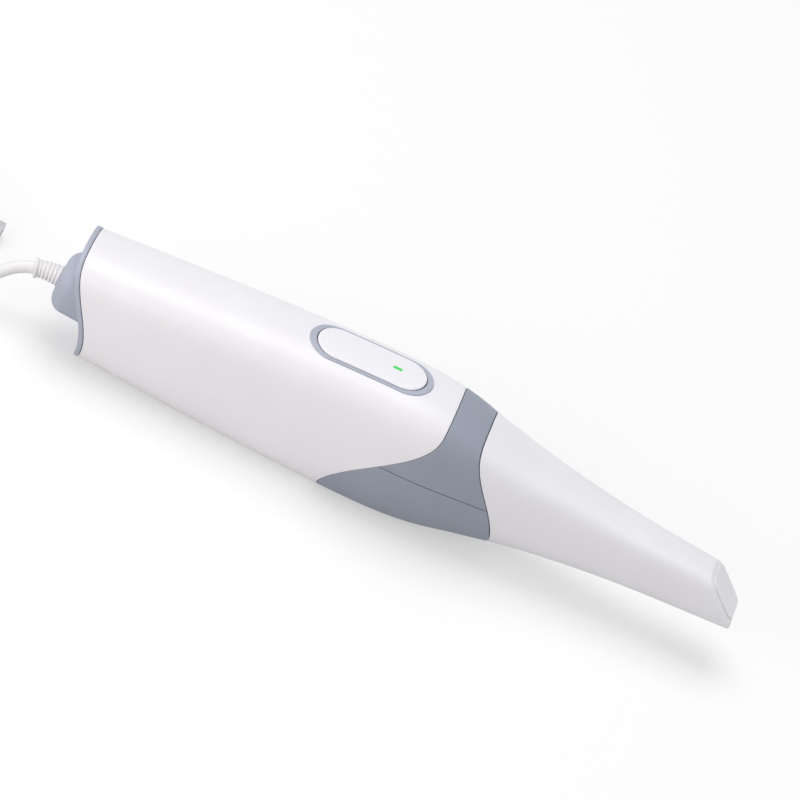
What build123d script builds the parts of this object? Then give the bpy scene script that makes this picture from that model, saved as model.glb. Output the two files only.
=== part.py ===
"""Handheld intraoral scanner: handle, removable mirror tip, cable and plug.

The handle lies along X with its tip towards +X and its button on top.
Z is up from the flat that it rests on. Sizes are in millimetres.
"""
from build123d import *
from math import radians, sin, tan
import os

os.makedirs("parts", exist_ok=True)

# Outside of the handle and tip: its low edge, high edge and half width at nine stations
rear_x, rear_low, rear_high, rear_half_width = -142.0, 3.2, 45.6, 18.6
aft_x, aft_low, aft_high, aft_half_width = -100.0, 1.0, 49.6, 20.2
middle_x, middle_low, middle_high, middle_half_width = -55.0, -0.4, 53.5, 21.4
waist_x, waist_low, waist_high, waist_half_width = -8.0, -0.4, 56.0, 22.0
collar_x, collar_low, collar_high, collar_half_width = 14.0, 1.4, 54.8, 21.0
mouth_x, mouth_low, mouth_high, mouth_half_width = 34.0, 5.8, 50.7, 18.0
flare_x, flare_low, flare_high, flare_half_width = 58.0, 11.0, 46.2, 14.6
snout_x, snout_low, snout_high, snout_half_width = 95.0, 16.0, 41.6, 11.3
end_x, end_low, end_high, end_half_width = 146.0, 19.7, 38.3, 8.8
section_squareness = 0.84
section_count = 16
rest_flat_z = 0.0

# Walls and gaps
shell_wall = 2.2
tip_wall = 2.0
seam_gap = 0.25
moving_gap = 0.35
seat_gap = 0.1

# Side curves of the seams: x at the top, x at the bottom, where the wave starts and ends in z
rear_seam = (-138.2, -123.8, 51.0, 10.0)
sleeve_seam = (13.1, -22.0, 50.0, 4.0)
tip_seam = (27.3, 46.3, 54.0, 12.0)
grip_parting_z = 27.5
lip_overlap = 3.0
lip_thickness = 1.4

# Rear cap and its cable outlet
cap_rim_thickness = 2.0
cap_rim_proud = 0.3
cap_spigot_depth = 5.0
outlet_z = 24.4
outlet_end_x = -143.5
outlet_base_x = -126.0
outlet_base_height, outlet_base_width = 31.0, 28.0
outlet_neck_diameter = 6.4
outlet_pocket_diameter = 9.2
outlet_corner, outlet_taper, outlet_edge_radius = 11.0, 8.0, 5.0
outlet_end_wall = 3.0

# Button on the top of the handle
button_x = -24.0
ring_length, ring_width, ring_proud = 53.0, 22.0, 0.45
pad_length, pad_width, pad_proud = 44.5, 18.0, 0.8
ring_depth = 3.6
bezel_length, bezel_width, bezel_corner = 60.0, 26.0, 4.0
pad_flange_reach, pad_flange_thickness = 1.5, 1.2
button_travel = 0.9
light_x, light_length, light_width = -13.0, 4.4, 1.6
button_board_drop = 13.0
button_board_thickness = 1.2
button_board_width = 22.0
bezel_leg_diameter, bezel_leg_spacing_y = 3.0, 18.0
bezel_leg_inset = 3.0
switch_side, switch_height = 6.0, 3.4
plunger_diameter, plunger_proud, plunger_depth, plunger_clearance = 3.0, 1.2, 1.6, 0.1
stem_diameter = 6.0
led_length, led_width, led_height = 3.2, 1.6, 1.0

# Optical frame inside the handle
plate_low, plate_thickness, plate_width = 10.0, 2.5, 24.0
plate_rear_x = -118.0
bulkhead_x, bulkhead_thickness = 21.0, 3.0
bulkhead_inset = 4.0
boss_diameter, boss_spacing_y = 6.5, 15.0
boss_stations = (-100.0, -50.0, 0.0)
screw_diameter, screw_head_diameter, screw_head_height = 2.0, 3.8, 1.5
screw_bite = 4.5
optic_z = 28.8
prism_side, prism_gap = 12.0, 0.1
cheek_thickness, cheek_high = 2.4, 40.0
projector_height, projector_fins = 10.0, 3
barrel_rear_diameter, barrel_front_diameter = 13.0, 10.4
barrel_step_x, barrel_front_x = 60.0, 90.0
barrel_wall = 1.2
lens_thickness, lens_bulge, lens_clearance = 3.0, 0.8, 0.05
lens_stations = (26.0, 50.0, 84.0)
sensor_side, sensor_thickness = 9.0, 1.8
sensor_distance = 2.6
camera_board_width, camera_board_height, camera_board_thickness = 20.0, 26.0, 1.6
sink_rear_x, sink_front_x, sink_width, sink_base, sink_height = -34.0, -8.0, 22.0, 2.5, 15.0
fin_count, fin_thickness = 6, 1.2
board_rear_x, board_front_x, board_width, board_thickness = -110.0, -60.0, 26.0, 1.6
board_gap, board_post_diameter = 3.5, 4.5
board_screw_inset = 3.0
socket_inset, socket_length, socket_width, socket_height = 1.0, 9.0, 12.0, 12.0
chip_height = 1.8
clamp_length, clamp_width = 5.0, 14.0
clamp_cover = 3.0

# Snout that carries the tip, with its window, seal and catches
snout_clearance = 0.6
snout_wall = 1.8
snout_flange = 2.5
snout_front_x = 96.0
snout_end_wall = 2.6
window_width, window_height, window_thickness, window_rim, window_corner = 9.0, 11.0, 1.4, 1.0, 2.0
seal_x, seal_width, seal_depth, seal_proud = 62.0, 2.2, 1.0, 0.25
catch_x, catch_length, catch_height, catch_depth, catch_proud = 52.0, 7.0, 5.0, 1.0, 0.25

# Tip: slanted mirror end and scanning window
slant_sum = 167.3
slant_angle = 45.0
nose_x = 143.5
slant_top_radius, slant_low_radius, tip_edge_radius = 5.0, 3.0, 1.2
mirror_thickness, mirror_side_gap = 1.0, 0.1
mirror_low_z, mirror_high_z = 24.6, 35.4
scan_rear_x, scan_front_x, scan_width, scan_corner = 122.5, 140.0, 12.6, 2.0
scan_cut_rise = 0.9

# Cable, its strain relief and its plug
cable_diameter = 5.0
relief_diameter, relief_end_diameter = 8.4, 7.0
relief_length, relief_ribs, relief_groove, relief_rib_share = 10.5, 5, 0.6, 0.6
relief_flange_diameter, relief_flange_thickness = 9.0, 2.0
inner_lead_diameter = 4.6
coil_x, coil_y = -236.5, 0.0
coil_inner_radius, coil_outer_radius, coil_height = 20.0, 35.0, 15.0
plug_boot_length, plug_boot_start_diameter, plug_boot_end_diameter = 22.0, 6.0, 8.0
plug_body_length, plug_body_width, plug_body_height, plug_body_corner = 26.0, 15.0, 8.0, 2.4
plug_shell_length, plug_shell_width, plug_shell_height, plug_shell_wall = 12.0, 12.0, 4.5, 0.3
plug_tongue_thickness, plug_tongue_gap = 1.84, 0.3
plug_start_offset = 4.0

# Points of the cable's route from the strain relief down to the coil
cable_route = [
    (-154.0, 0.0, 24.4),
    (-162.0, 0.0, 24.4),
    (-170.6, -1.3, 22.1),
    (-178.5, -4.0, 17.5),
    (-184.8, -7.9, 10.8),
    (-196.2, -15.3, 2.6),
    (-209.4, -23.5, 2.6),
    (-223.6, -29.8, 2.6),
]

# Limits that lie outside every piece
far_low, far_high, far_side = -30.0, 90.0, 60.0


def section_outline(low, high, half_width):
    """Four quarter curves of one rounded-square section, as control points."""
    middle = (low + high) / 2
    pull = section_squareness
    quarters = []
    for side, edge_z in ((1, low), (1, high), (-1, high), (-1, low)):
        centre, flank = (0, edge_z), (side * half_width, middle)
        near_centre = (side * half_width * pull, edge_z)
        near_flank = (side * half_width, middle + (edge_z - middle) * pull)
        quarter = (centre, near_centre, near_flank, flank)
        quarters.append(quarter if (side > 0) == (edge_z == low) else quarter[::-1])
    return quarters


def guide_value(stations, column, x):
    """Value of one guide curve at x, a smooth cubic through its stations."""
    places = [station[0] for station in stations]
    values = [station[column] for station in stations]
    last = len(places) - 1
    slopes = []
    for index in range(last + 1):
        before, after = max(index - 1, 0), min(index + 1, last)
        slopes.append((values[after] - values[before]) / (places[after] - places[before]))
    start = max(index for index in range(last) if places[index] <= x)
    span = places[start + 1] - places[start]
    t = (x - places[start]) / span
    return (
        values[start] * (1 + 2 * t) * (1 - t) ** 2
        + slopes[start] * span * t * (1 - t) ** 2
        + values[start + 1] * (3 - 2 * t) * t ** 2
        - slopes[start + 1] * span * (1 - t) * t ** 2
    )


def whole_form(grow):
    """Handle and tip as one loft of evenly spaced sections, each moved outwards by grow."""
    stations = (
        (rear_x, rear_low, rear_high, rear_half_width),
        (aft_x, aft_low, aft_high, aft_half_width),
        (middle_x, middle_low, middle_high, middle_half_width),
        (waist_x, waist_low, waist_high, waist_half_width),
        (collar_x, collar_low, collar_high, collar_half_width),
        (mouth_x, mouth_low, mouth_high, mouth_half_width),
        (flare_x, flare_low, flare_high, flare_half_width),
        (snout_x, snout_low, snout_high, snout_half_width),
        (end_x, end_low, end_high, end_half_width),
    )
    with BuildPart() as form:
        for step in range(section_count):
            x = rear_x + (end_x - rear_x) * step / (section_count - 1)
            low, high, half_width = (guide_value(stations, column, x) for column in (1, 2, 3))
            with BuildSketch(Plane.YZ.offset(x)):
                with BuildLine():
                    for quarter in section_outline(low - grow, high + grow, half_width + grow):
                        Bezier(*quarter)
                make_face()
        loft()
    return form.part


def wave(seam, shift):
    """Corner points and control points of a seam's side curve, moved along X by shift."""
    top_x, low_x, top_z, low_z = seam
    third = (top_z - low_z) / 3
    top, low = (top_x + shift, top_z), (low_x + shift, low_z)
    return top, (top[0], top_z - third), (low[0], low_z + third), low


def seam_zone(rear, rear_shift, front, front_shift):
    """Block between two seams, cut through the whole width; None means the far end."""
    with BuildPart() as zone:
        with BuildSketch(Plane.XZ):
            with BuildLine():
                ends = []
                for seam, shift, far_x in ((rear, rear_shift, far_rear), (front, front_shift, far_front)):
                    if seam is None:
                        Line((far_x, far_low), (far_x, far_high))
                        ends.append((far_x, far_x))
                    else:
                        points = wave(seam, shift)
                        Bezier(*points)
                        Line((points[0][0], far_high), points[0])
                        Line(points[3], (points[3][0], far_low))
                        ends.append((points[0][0], points[3][0]))
                Line((ends[0][0], far_high), (ends[1][0], far_high))
                Line((ends[0][1], far_low), (ends[1][1], far_low))
            make_face()
        extrude(amount=far_side, both=True)
    return zone.part


def slab(low_x, high_x, low_z=None, high_z=None, width=None):
    """Block between two x and two z, centred on the middle plane."""
    low_z = far_low if low_z is None else low_z
    high_z = far_high if high_z is None else high_z
    width = 2 * far_side if width is None else width
    with BuildPart() as block:
        with BuildSketch(Plane.XY.offset(low_z)):
            with Locations(((low_x + high_x) / 2, 0)):
                Rectangle(high_x - low_x, width)
        extrude(amount=high_z - low_z)
    return block.part


def slot_column(x, length, width, low_z, high_z):
    """Upright column with a slot outline, long along X."""
    with BuildPart() as column:
        with BuildSketch(Plane.XY.offset(low_z)):
            with Locations((x, 0)):
                SlotOverall(length, width)
        extrude(amount=high_z - low_z)
    return column.part


def posts(places, diameter, low_z, high_z):
    """Round posts at the given places."""
    with BuildPart() as group:
        with BuildSketch(Plane.XY.offset(low_z)):
            with Locations(*places):
                Circle(diameter / 2)
        extrude(amount=high_z - low_z)
    return group.part


def rod(start_x, end_x, diameter, z):
    """Round rod along X."""
    with BuildPart() as bar:
        with BuildSketch(Plane.YZ.offset(start_x)):
            with Locations((0, z)):
                Circle(diameter / 2)
        extrude(amount=end_x - start_x)
    return bar.part


def tip_profile(inset):
    """Side outline of the tip's end, its slant and nose moved in by inset."""
    lean = radians(slant_angle)
    slant_reach = slant_sum - inset / sin(lean)
    nose = nose_x - inset
    with BuildPart() as profile:
        with BuildSketch(Plane.XZ) as side:
            with BuildLine():
                Polyline(
                    (rear_x, far_low),
                    (nose, far_low),
                    (nose, slant_reach - nose),
                    (slant_reach - far_high, far_high),
                    (rear_x, far_high),
                    close=True,
                )
            make_face()
            slant_foot = side.vertices().sort_by_distance((nose, slant_reach - nose, 0))[0]
            fillet(slant_foot, slant_low_radius)
        extrude(amount=far_side, both=True)
    return profile.part


far_rear, far_front = rear_x - 30, end_x + 30

outside = whole_form(0) & slab(far_rear, far_front, rest_flat_z, far_high)
inside = whole_form(-shell_wall)
lip_outside = whole_form(-shell_wall - seat_gap)
lip_inside = whole_form(-shell_wall - seat_gap - lip_thickness)
lip_skin = lip_outside - lip_inside
lip_root = inside - lip_inside
snout_outside = whole_form(-tip_wall - snout_clearance)

# Screw bosses that carry the optical frame
plate_high = plate_low + plate_thickness
boss_places = [(x, side * boss_spacing_y / 2) for x in boss_stations for side in (-1, 1)]
sleeve_foot_x = sleeve_seam[1]
sleeve_boss_places = [place for place in boss_places if place[0] < sleeve_foot_x]
grip_boss_places = [place for place in boss_places if place[0] >= sleeve_foot_x]
boss_foot_z = rest_flat_z + shell_wall / 2
screw_tip_z = plate_low - screw_bite

# Button levels follow the top of the waist
board_top_z = waist_high - button_board_drop
board_low_z = board_top_z - button_board_thickness
switch_top_z = board_top_z + switch_height
plunger_top_z = switch_top_z + plunger_proud

# White sleeve of the handle
with BuildPart() as main_shell:
    add(outside)
    add(inside, mode=Mode.SUBTRACT)
    add(posts(sleeve_boss_places, boss_diameter, boss_foot_z, plate_low))
    add(posts(sleeve_boss_places, screw_diameter, screw_tip_z, plate_low), mode=Mode.SUBTRACT)
    add(seam_zone(rear_seam, 0, sleeve_seam, 0), mode=Mode.INTERSECT)
    add(
        slot_column(button_x, ring_length + 2 * seat_gap, ring_width + 2 * seat_gap, optic_z, far_high),
        mode=Mode.SUBTRACT,
    )
main_shell.part.label = "main_shell"
export_step(main_shell.part, "parts/main_shell.step")

# Blue-grey grip in two halves in front of the sleeve, each with a lip under the sleeve
grip_zone = seam_zone(sleeve_seam, seam_gap, tip_seam, 0)
sleeve_lip = lip_skin & seam_zone(sleeve_seam, -lip_overlap, sleeve_seam, lip_overlap)
sleeve_lip_root = lip_root & seam_zone(sleeve_seam, seam_gap, sleeve_seam, lip_overlap)
parting_low, parting_high = grip_parting_z - seam_gap / 2, grip_parting_z + seam_gap / 2
parting_lip_x = waist_x + sleeve_seam[0]

with BuildPart() as grip_upper:
    add(outside)
    add(inside, mode=Mode.SUBTRACT)
    add(grip_zone, mode=Mode.INTERSECT)
    add(sleeve_lip)
    add(sleeve_lip_root)
    add(slab(far_rear, far_front, parting_high), mode=Mode.INTERSECT)
    add(
        slab(far_rear, button_x + bezel_length / 2 + seat_gap, optic_z, far_high, bezel_width + 2 * seat_gap),
        mode=Mode.SUBTRACT,
    )
grip_upper.part.label = "grip_upper"
export_step(grip_upper.part, "parts/grip_upper.step")

with BuildPart() as grip_lower:
    add(outside)
    add(inside, mode=Mode.SUBTRACT)
    add(posts(grip_boss_places, boss_diameter, boss_foot_z, plate_low))
    add(posts(grip_boss_places, screw_diameter, screw_tip_z, plate_low), mode=Mode.SUBTRACT)
    add(grip_zone, mode=Mode.INTERSECT)
    add(sleeve_lip)
    add(sleeve_lip_root)
    add(slab(far_rear, far_front, far_low, parting_low), mode=Mode.INTERSECT)
    add(lip_skin & slab(parting_lip_x, bulkhead_x, parting_low - lip_overlap, parting_high + lip_overlap))
    add(lip_root & slab(parting_lip_x, bulkhead_x, parting_low - lip_overlap, parting_low))
grip_lower.part.label = "grip_lower"
export_step(grip_lower.part, "parts/grip_lower.step")

# Rear cap: a rim that follows the rear seam, a spigot inside the sleeve and the cable outlet
with BuildPart() as outlet:
    with BuildSketch(Plane.YZ.offset(outlet_base_x)):
        with Locations((0, outlet_z)):
            RectangleRounded(outlet_base_width, outlet_base_height, outlet_corner)
    extrude(amount=-(outlet_base_x - outlet_end_x), taper=outlet_taper)
    fillet(outlet.faces().sort_by(Axis.X)[0].edges(), outlet_edge_radius)

with BuildPart() as rear_cap:
    add(whole_form(cap_rim_proud))
    add(seam_zone(rear_seam, -seam_gap - cap_rim_thickness, rear_seam, -seam_gap), mode=Mode.INTERSECT)
    add(outlet.part & seam_zone(None, 0, rear_seam, -seam_gap))
    add(lip_skin & seam_zone(rear_seam, -2 * seam_gap, rear_seam, cap_spigot_depth))
    add(
        rod(outlet_end_x + outlet_end_wall, plate_rear_x, outlet_pocket_diameter, outlet_z),
        mode=Mode.SUBTRACT,
    )
    add(rod(far_rear, plate_rear_x, outlet_neck_diameter, outlet_z), mode=Mode.SUBTRACT)
rear_cap.part.label = "rear_cap"
export_step(rear_cap.part, "parts/rear_cap.step")

# Button bezel: a proud ring, its flange under the shell and four legs down to the board
pad_opening_length, pad_opening_width = pad_length + 2 * moving_gap, pad_width + 2 * moving_gap
leg_x = bezel_length / 2 - bezel_leg_inset
leg_places = [(button_x + end * leg_x, side * bezel_leg_spacing_y / 2) for end in (-1, 1) for side in (-1, 1)]
bezel_floor = whole_form(-ring_depth)

with BuildPart() as button_ring:
    with BuildSketch(Plane.XY.offset(optic_z)):
        with Locations((button_x, 0)):
            RectangleRounded(bezel_length, bezel_width, bezel_corner)
    extrude(amount=far_high - optic_z)
    add(inside, mode=Mode.INTERSECT)
    add(whole_form(ring_proud) & slot_column(button_x, ring_length, ring_width, optic_z, far_high))
    add(bezel_floor, mode=Mode.SUBTRACT)
    add(
        slot_column(button_x, pad_opening_length, pad_opening_width, optic_z, far_high),
        mode=Mode.SUBTRACT,
    )
    add(posts(leg_places, bezel_leg_diameter, board_top_z, waist_high) & inside)
button_ring.part.label = "button_ring"
export_step(button_ring.part, "parts/button_ring.step")

# Button pad, with a flange that stops under the bezel and a stem down to the switch
flange_top = ring_depth + moving_gap
with BuildPart() as button_pad:
    add(whole_form(pad_proud) & slot_column(button_x, pad_length, pad_width, optic_z, far_high))
    add(whole_form(-flange_top), mode=Mode.SUBTRACT)
    add(
        (whole_form(-flange_top) - whole_form(-flange_top - pad_flange_thickness))
        & slot_column(
            button_x, pad_length + 2 * pad_flange_reach, pad_width + 2 * pad_flange_reach, optic_z, far_high
        )
    )
    add(posts([(button_x, 0)], stem_diameter, plunger_top_z, waist_high - flange_top))
    add(slot_column(light_x, light_length, light_width, board_top_z, far_high), mode=Mode.SUBTRACT)
button_pad.part.label = "button_pad"
export_step(button_pad.part, "parts/button_pad.step")

with BuildPart() as button_light:
    add(whole_form(pad_proud) & slot_column(light_x, light_length, light_width, optic_z, far_high))
    add(whole_form(-flange_top - pad_flange_thickness), mode=Mode.SUBTRACT)
button_light.part.label = "button_light"
export_step(button_light.part, "parts/button_light.step")

with BuildPart() as switch_plunger:
    add(posts([(button_x, 0)], plunger_diameter, switch_top_z - plunger_depth, plunger_top_z))
switch_plunger.part.label = "switch_plunger"
export_step(switch_plunger.part, "parts/switch_plunger.step")

with BuildPart() as button_switch:
    with BuildSketch(Plane.XY.offset(board_top_z)):
        with Locations((button_x, 0)):
            Rectangle(switch_side, switch_side)
    extrude(amount=switch_height)
    add(
        posts([(button_x, 0)], plunger_diameter + 2 * plunger_clearance,
              switch_top_z - plunger_depth - button_travel - plunger_clearance, switch_top_z),
        mode=Mode.SUBTRACT,
    )
button_switch.part.label = "button_switch"
export_step(button_switch.part, "parts/button_switch.step")

board_half_length = leg_x + bezel_leg_diameter
with BuildPart() as button_board:
    add(
        slab(button_x - board_half_length, button_x + board_half_length, board_low_z, board_top_z,
             button_board_width)
    )
button_board.part.label = "button_board"
export_step(button_board.part, "parts/button_board.step")

with BuildPart() as status_led:
    add(slab(light_x - led_length / 2, light_x + led_length / 2, board_top_z, board_top_z + led_height, led_width))
status_led.part.label = "status_led"
export_step(status_led.part, "parts/status_led.step")

# Optical frame: plate, cradle for the prism and bulkhead for the snout
prism_low, prism_high = optic_z - prism_side / 2, optic_z + prism_side / 2
prism_rear_x = bulkhead_x - prism_gap - prism_side
cradle_width = prism_side + 2 * (seat_gap + cheek_thickness)
bulkhead_front_x = bulkhead_x + bulkhead_thickness
post_top_z = plate_high + board_gap
board_corners = [
    (x, side * (board_width / 2 - board_screw_inset))
    for x in (board_rear_x + board_screw_inset, board_front_x - board_screw_inset)
    for side in (-1, 1)
]
with BuildPart() as optical_frame:
    add(slab(plate_rear_x, bulkhead_x, plate_low, plate_high, plate_width))
    add(whole_form(-bulkhead_inset) & slab(bulkhead_x, bulkhead_front_x))
    add(slab(prism_rear_x, bulkhead_x, plate_low, cheek_high, cradle_width))
    add(slab(prism_rear_x, bulkhead_x, prism_low, far_high, prism_side + 2 * seat_gap), mode=Mode.SUBTRACT)
    add(posts(board_corners, board_post_diameter, plate_high, post_top_z))
    add(posts(board_corners, screw_diameter, plate_low + seat_gap, post_top_z), mode=Mode.SUBTRACT)
    add(posts(boss_places, screw_diameter + 2 * seat_gap, plate_low, plate_high), mode=Mode.SUBTRACT)
    add(
        rod(prism_rear_x, bulkhead_front_x, barrel_rear_diameter + 2 * seat_gap, optic_z)
        & slab(bulkhead_x - seat_gap, bulkhead_front_x),
        mode=Mode.SUBTRACT,
    )
optical_frame.part.label = "optical_frame"
export_step(optical_frame.part, "parts/optical_frame.step")

with BuildPart() as frame_screws:
    add(posts(boss_places, screw_diameter, screw_tip_z + seat_gap, plate_high))
    add(posts(boss_places, screw_head_diameter, plate_high, plate_high + screw_head_height))
frame_screws.part.label = "frame_screws"
export_step(frame_screws.part, "parts/frame_screws.step")

# Beam prism, camera behind it and projector on top of it
with BuildPart() as beam_prism:
    add(slab(prism_rear_x, prism_rear_x + prism_side, prism_low, prism_high, prism_side))
beam_prism.part.label = "beam_prism"
export_step(beam_prism.part, "parts/beam_prism.step")

with BuildPart() as projector:
    add(slab(prism_rear_x, prism_rear_x + prism_side, prism_high, prism_high + projector_height, prism_side))
    for fin in range(projector_fins):
        groove_x = prism_rear_x + prism_side * (fin + 1) / (projector_fins + 1)
        add(
            slab(groove_x - fin_thickness / 2, groove_x + fin_thickness / 2,
                 prism_high + projector_height / 2, prism_high + projector_height, prism_side),
            mode=Mode.SUBTRACT,
        )
projector.part.label = "projector"
export_step(projector.part, "parts/projector.step")

sensor_front_x = prism_rear_x - sensor_distance
camera_board_front_x = sensor_front_x - sensor_thickness
with BuildPart() as image_sensor:
    add(slab(camera_board_front_x, sensor_front_x, optic_z - sensor_side / 2, optic_z + sensor_side / 2, sensor_side))
image_sensor.part.label = "image_sensor"
export_step(image_sensor.part, "parts/image_sensor.step")

with BuildPart() as camera_board:
    add(
        slab(camera_board_front_x - camera_board_thickness, camera_board_front_x, plate_high,
             plate_high + camera_board_height, camera_board_width)
    )
camera_board.part.label = "camera_board"
export_step(camera_board.part, "parts/camera_board.step")

# Lens barrel with its three lenses
barrel_rear_x = prism_rear_x + prism_side
with BuildPart() as lens_barrel:
    add(rod(barrel_rear_x, barrel_step_x, barrel_rear_diameter, optic_z))
    add(rod(barrel_step_x, barrel_front_x, barrel_front_diameter, optic_z))
    add(rod(barrel_rear_x, barrel_step_x - barrel_wall, barrel_rear_diameter - 2 * barrel_wall, optic_z),
        mode=Mode.SUBTRACT)
    add(rod(barrel_rear_x, barrel_front_x, barrel_front_diameter - 2 * barrel_wall, optic_z),
        mode=Mode.SUBTRACT)
lens_barrel.part.label = "lens_barrel"
export_step(lens_barrel.part, "parts/lens_barrel.step")

with BuildPart() as lenses:
    for lens_x in lens_stations:
        outer = barrel_rear_diameter if lens_x < barrel_step_x else barrel_front_diameter
        lens_radius = outer / 2 - barrel_wall - lens_clearance
        add(rod(lens_x, lens_x + lens_thickness, 2 * lens_radius, optic_z))
    fillet(lenses.edges().filter_by(GeomType.CIRCLE), lens_bulge)
lenses.part.label = "lenses"
export_step(lenses.part, "parts/lenses.step")

# Heat sink, main board and its parts
with BuildPart() as heat_sink:
    add(slab(sink_rear_x, sink_front_x, plate_high, plate_high + sink_base, sink_width))
    for fin in range(fin_count):
        fin_y = (sink_width - fin_thickness) * (fin / (fin_count - 1) - 0.5)
        with BuildSketch(Plane.XY.offset(plate_high + sink_base)):
            with Locations(((sink_rear_x + sink_front_x) / 2, fin_y)):
                Rectangle(sink_front_x - sink_rear_x, fin_thickness)
        extrude(amount=sink_height - sink_base)
heat_sink.part.label = "heat_sink"
export_step(heat_sink.part, "parts/heat_sink.step")

board_top = post_top_z + board_thickness
with BuildPart() as main_board:
    add(slab(board_rear_x, board_front_x, post_top_z, board_top, board_width))
    add(posts(board_corners, screw_diameter + 2 * seat_gap, post_top_z, board_top), mode=Mode.SUBTRACT)
main_board.part.label = "main_board"
export_step(main_board.part, "parts/main_board.step")

with BuildPart() as board_screws:
    add(posts(board_corners, screw_diameter, plate_high, board_top))
    add(posts(board_corners, screw_head_diameter, board_top, board_top + screw_head_height))
board_screws.part.label = "board_screws"
export_step(board_screws.part, "parts/board_screws.step")

chips = ((-92.0, 0.0, 12.0), (-76.0, 4.0, 8.0), (-76.0, -6.0, 6.0))
with BuildPart() as board_chips:
    for chip_x, chip_y, chip_side in chips:
        with BuildSketch(Plane.XY.offset(board_top)):
            with Locations((chip_x, chip_y)):
                Rectangle(chip_side, chip_side)
        extrude(amount=chip_height)
board_chips.part.label = "board_chips"
export_step(board_chips.part, "parts/board_chips.step")

socket_rear_x = board_rear_x + socket_inset
with BuildPart() as board_socket:
    add(slab(socket_rear_x, socket_rear_x + socket_length, board_top, board_top + socket_height, socket_width))
board_socket.part.label = "board_socket"
export_step(board_socket.part, "parts/board_socket.step")

# Cable inside the handle, its clamp and the strain relief
clamp_front_x = board_rear_x - seam_gap
relief_shoulder_x = outlet_end_x + outlet_end_wall
with BuildPart() as inner_lead:
    add(rod(relief_shoulder_x + relief_flange_thickness, socket_rear_x, inner_lead_diameter, outlet_z))
inner_lead.part.label = "inner_lead"
export_step(inner_lead.part, "parts/inner_lead.step")

with BuildPart() as cable_clamp:
    add(
        slab(clamp_front_x - clamp_length, clamp_front_x, plate_high,
             outlet_z + inner_lead_diameter / 2 + clamp_cover, clamp_width)
    )
    add(rod(plate_rear_x, board_rear_x, inner_lead_diameter + 2 * seat_gap, outlet_z), mode=Mode.SUBTRACT)
cable_clamp.part.label = "cable_clamp"
export_step(cable_clamp.part, "parts/cable_clamp.step")

with BuildPart() as strain_relief:
    add(rod(relief_shoulder_x, relief_shoulder_x + relief_flange_thickness, relief_flange_diameter, outlet_z))
    add(rod(outlet_end_x, relief_shoulder_x, outlet_neck_diameter - 2 * seat_gap, outlet_z))
    relief_pitch = relief_length / relief_ribs
    for rib in range(relief_ribs):
        rib_x = outlet_end_x - rib * relief_pitch
        rib_diameter = relief_diameter - (relief_diameter - relief_end_diameter) * rib / (relief_ribs - 1)
        add(rod(rib_x - relief_pitch, rib_x, rib_diameter - 2 * relief_groove, outlet_z))
        add(rod(rib_x - relief_pitch * relief_rib_share, rib_x, rib_diameter, outlet_z))
strain_relief.part.label = "strain_relief"
export_step(strain_relief.part, "parts/strain_relief.step")

# Snout: hollow carrier of the tip with a window at its front
with BuildPart() as snout:
    add(snout_outside & slab(bulkhead_front_x, snout_front_x))
    add(
        whole_form(-tip_wall - snout_clearance - snout_wall)
        & slab(bulkhead_front_x + snout_flange, snout_front_x - snout_end_wall),
        mode=Mode.SUBTRACT,
    )
    add(
        rod(bulkhead_front_x, bulkhead_front_x + snout_flange, barrel_rear_diameter + 2 * seat_gap, optic_z),
        mode=Mode.SUBTRACT,
    )
    with BuildSketch(Plane.YZ.offset(snout_front_x)):
        with Locations((0, optic_z)):
            RectangleRounded(window_width, window_height, window_corner)
    extrude(amount=-snout_end_wall, mode=Mode.SUBTRACT)
    with BuildSketch(Plane.YZ.offset(snout_front_x)):
        with Locations((0, optic_z)):
            RectangleRounded(window_width + 2 * window_rim, window_height + 2 * window_rim, window_corner)
    extrude(amount=-window_thickness, mode=Mode.SUBTRACT)
    add(slab(seal_x, seal_x + seal_width) - whole_form(-tip_wall - snout_clearance - seal_depth),
        mode=Mode.SUBTRACT)
    add(
        slab(catch_x, catch_x + catch_length, optic_z - catch_height / 2, optic_z + catch_height / 2)
        - whole_form(-tip_wall - snout_clearance - catch_depth),
        mode=Mode.SUBTRACT,
    )
snout.part.label = "snout"
export_step(snout.part, "parts/snout.step")

with BuildPart() as snout_window:
    with BuildSketch(Plane.YZ.offset(snout_front_x - window_thickness)):
        with Locations((0, optic_z)):
            RectangleRounded(window_width + 2 * window_rim, window_height + 2 * window_rim, window_corner)
    extrude(amount=window_thickness)
snout_window.part.label = "snout_window"
export_step(snout_window.part, "parts/snout_window.step")

with BuildPart() as snout_seal:
    add(whole_form(seal_proud - tip_wall - snout_clearance))
    add(whole_form(-tip_wall - snout_clearance - seal_depth), mode=Mode.SUBTRACT)
    add(slab(seal_x, seal_x + seal_width), mode=Mode.INTERSECT)
snout_seal.part.label = "snout_seal"
export_step(snout_seal.part, "parts/snout_seal.step")

with BuildPart() as tip_catches:
    add(whole_form(catch_proud - tip_wall - snout_clearance))
    add(whole_form(-tip_wall - snout_clearance - catch_depth), mode=Mode.SUBTRACT)
    add(
        slab(catch_x, catch_x + catch_length, optic_z - catch_height / 2, optic_z + catch_height / 2),
        mode=Mode.INTERSECT,
    )
tip_catches.part.label = "tip_catches"
export_step(tip_catches.part, "parts/tip_catches.step")

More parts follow.
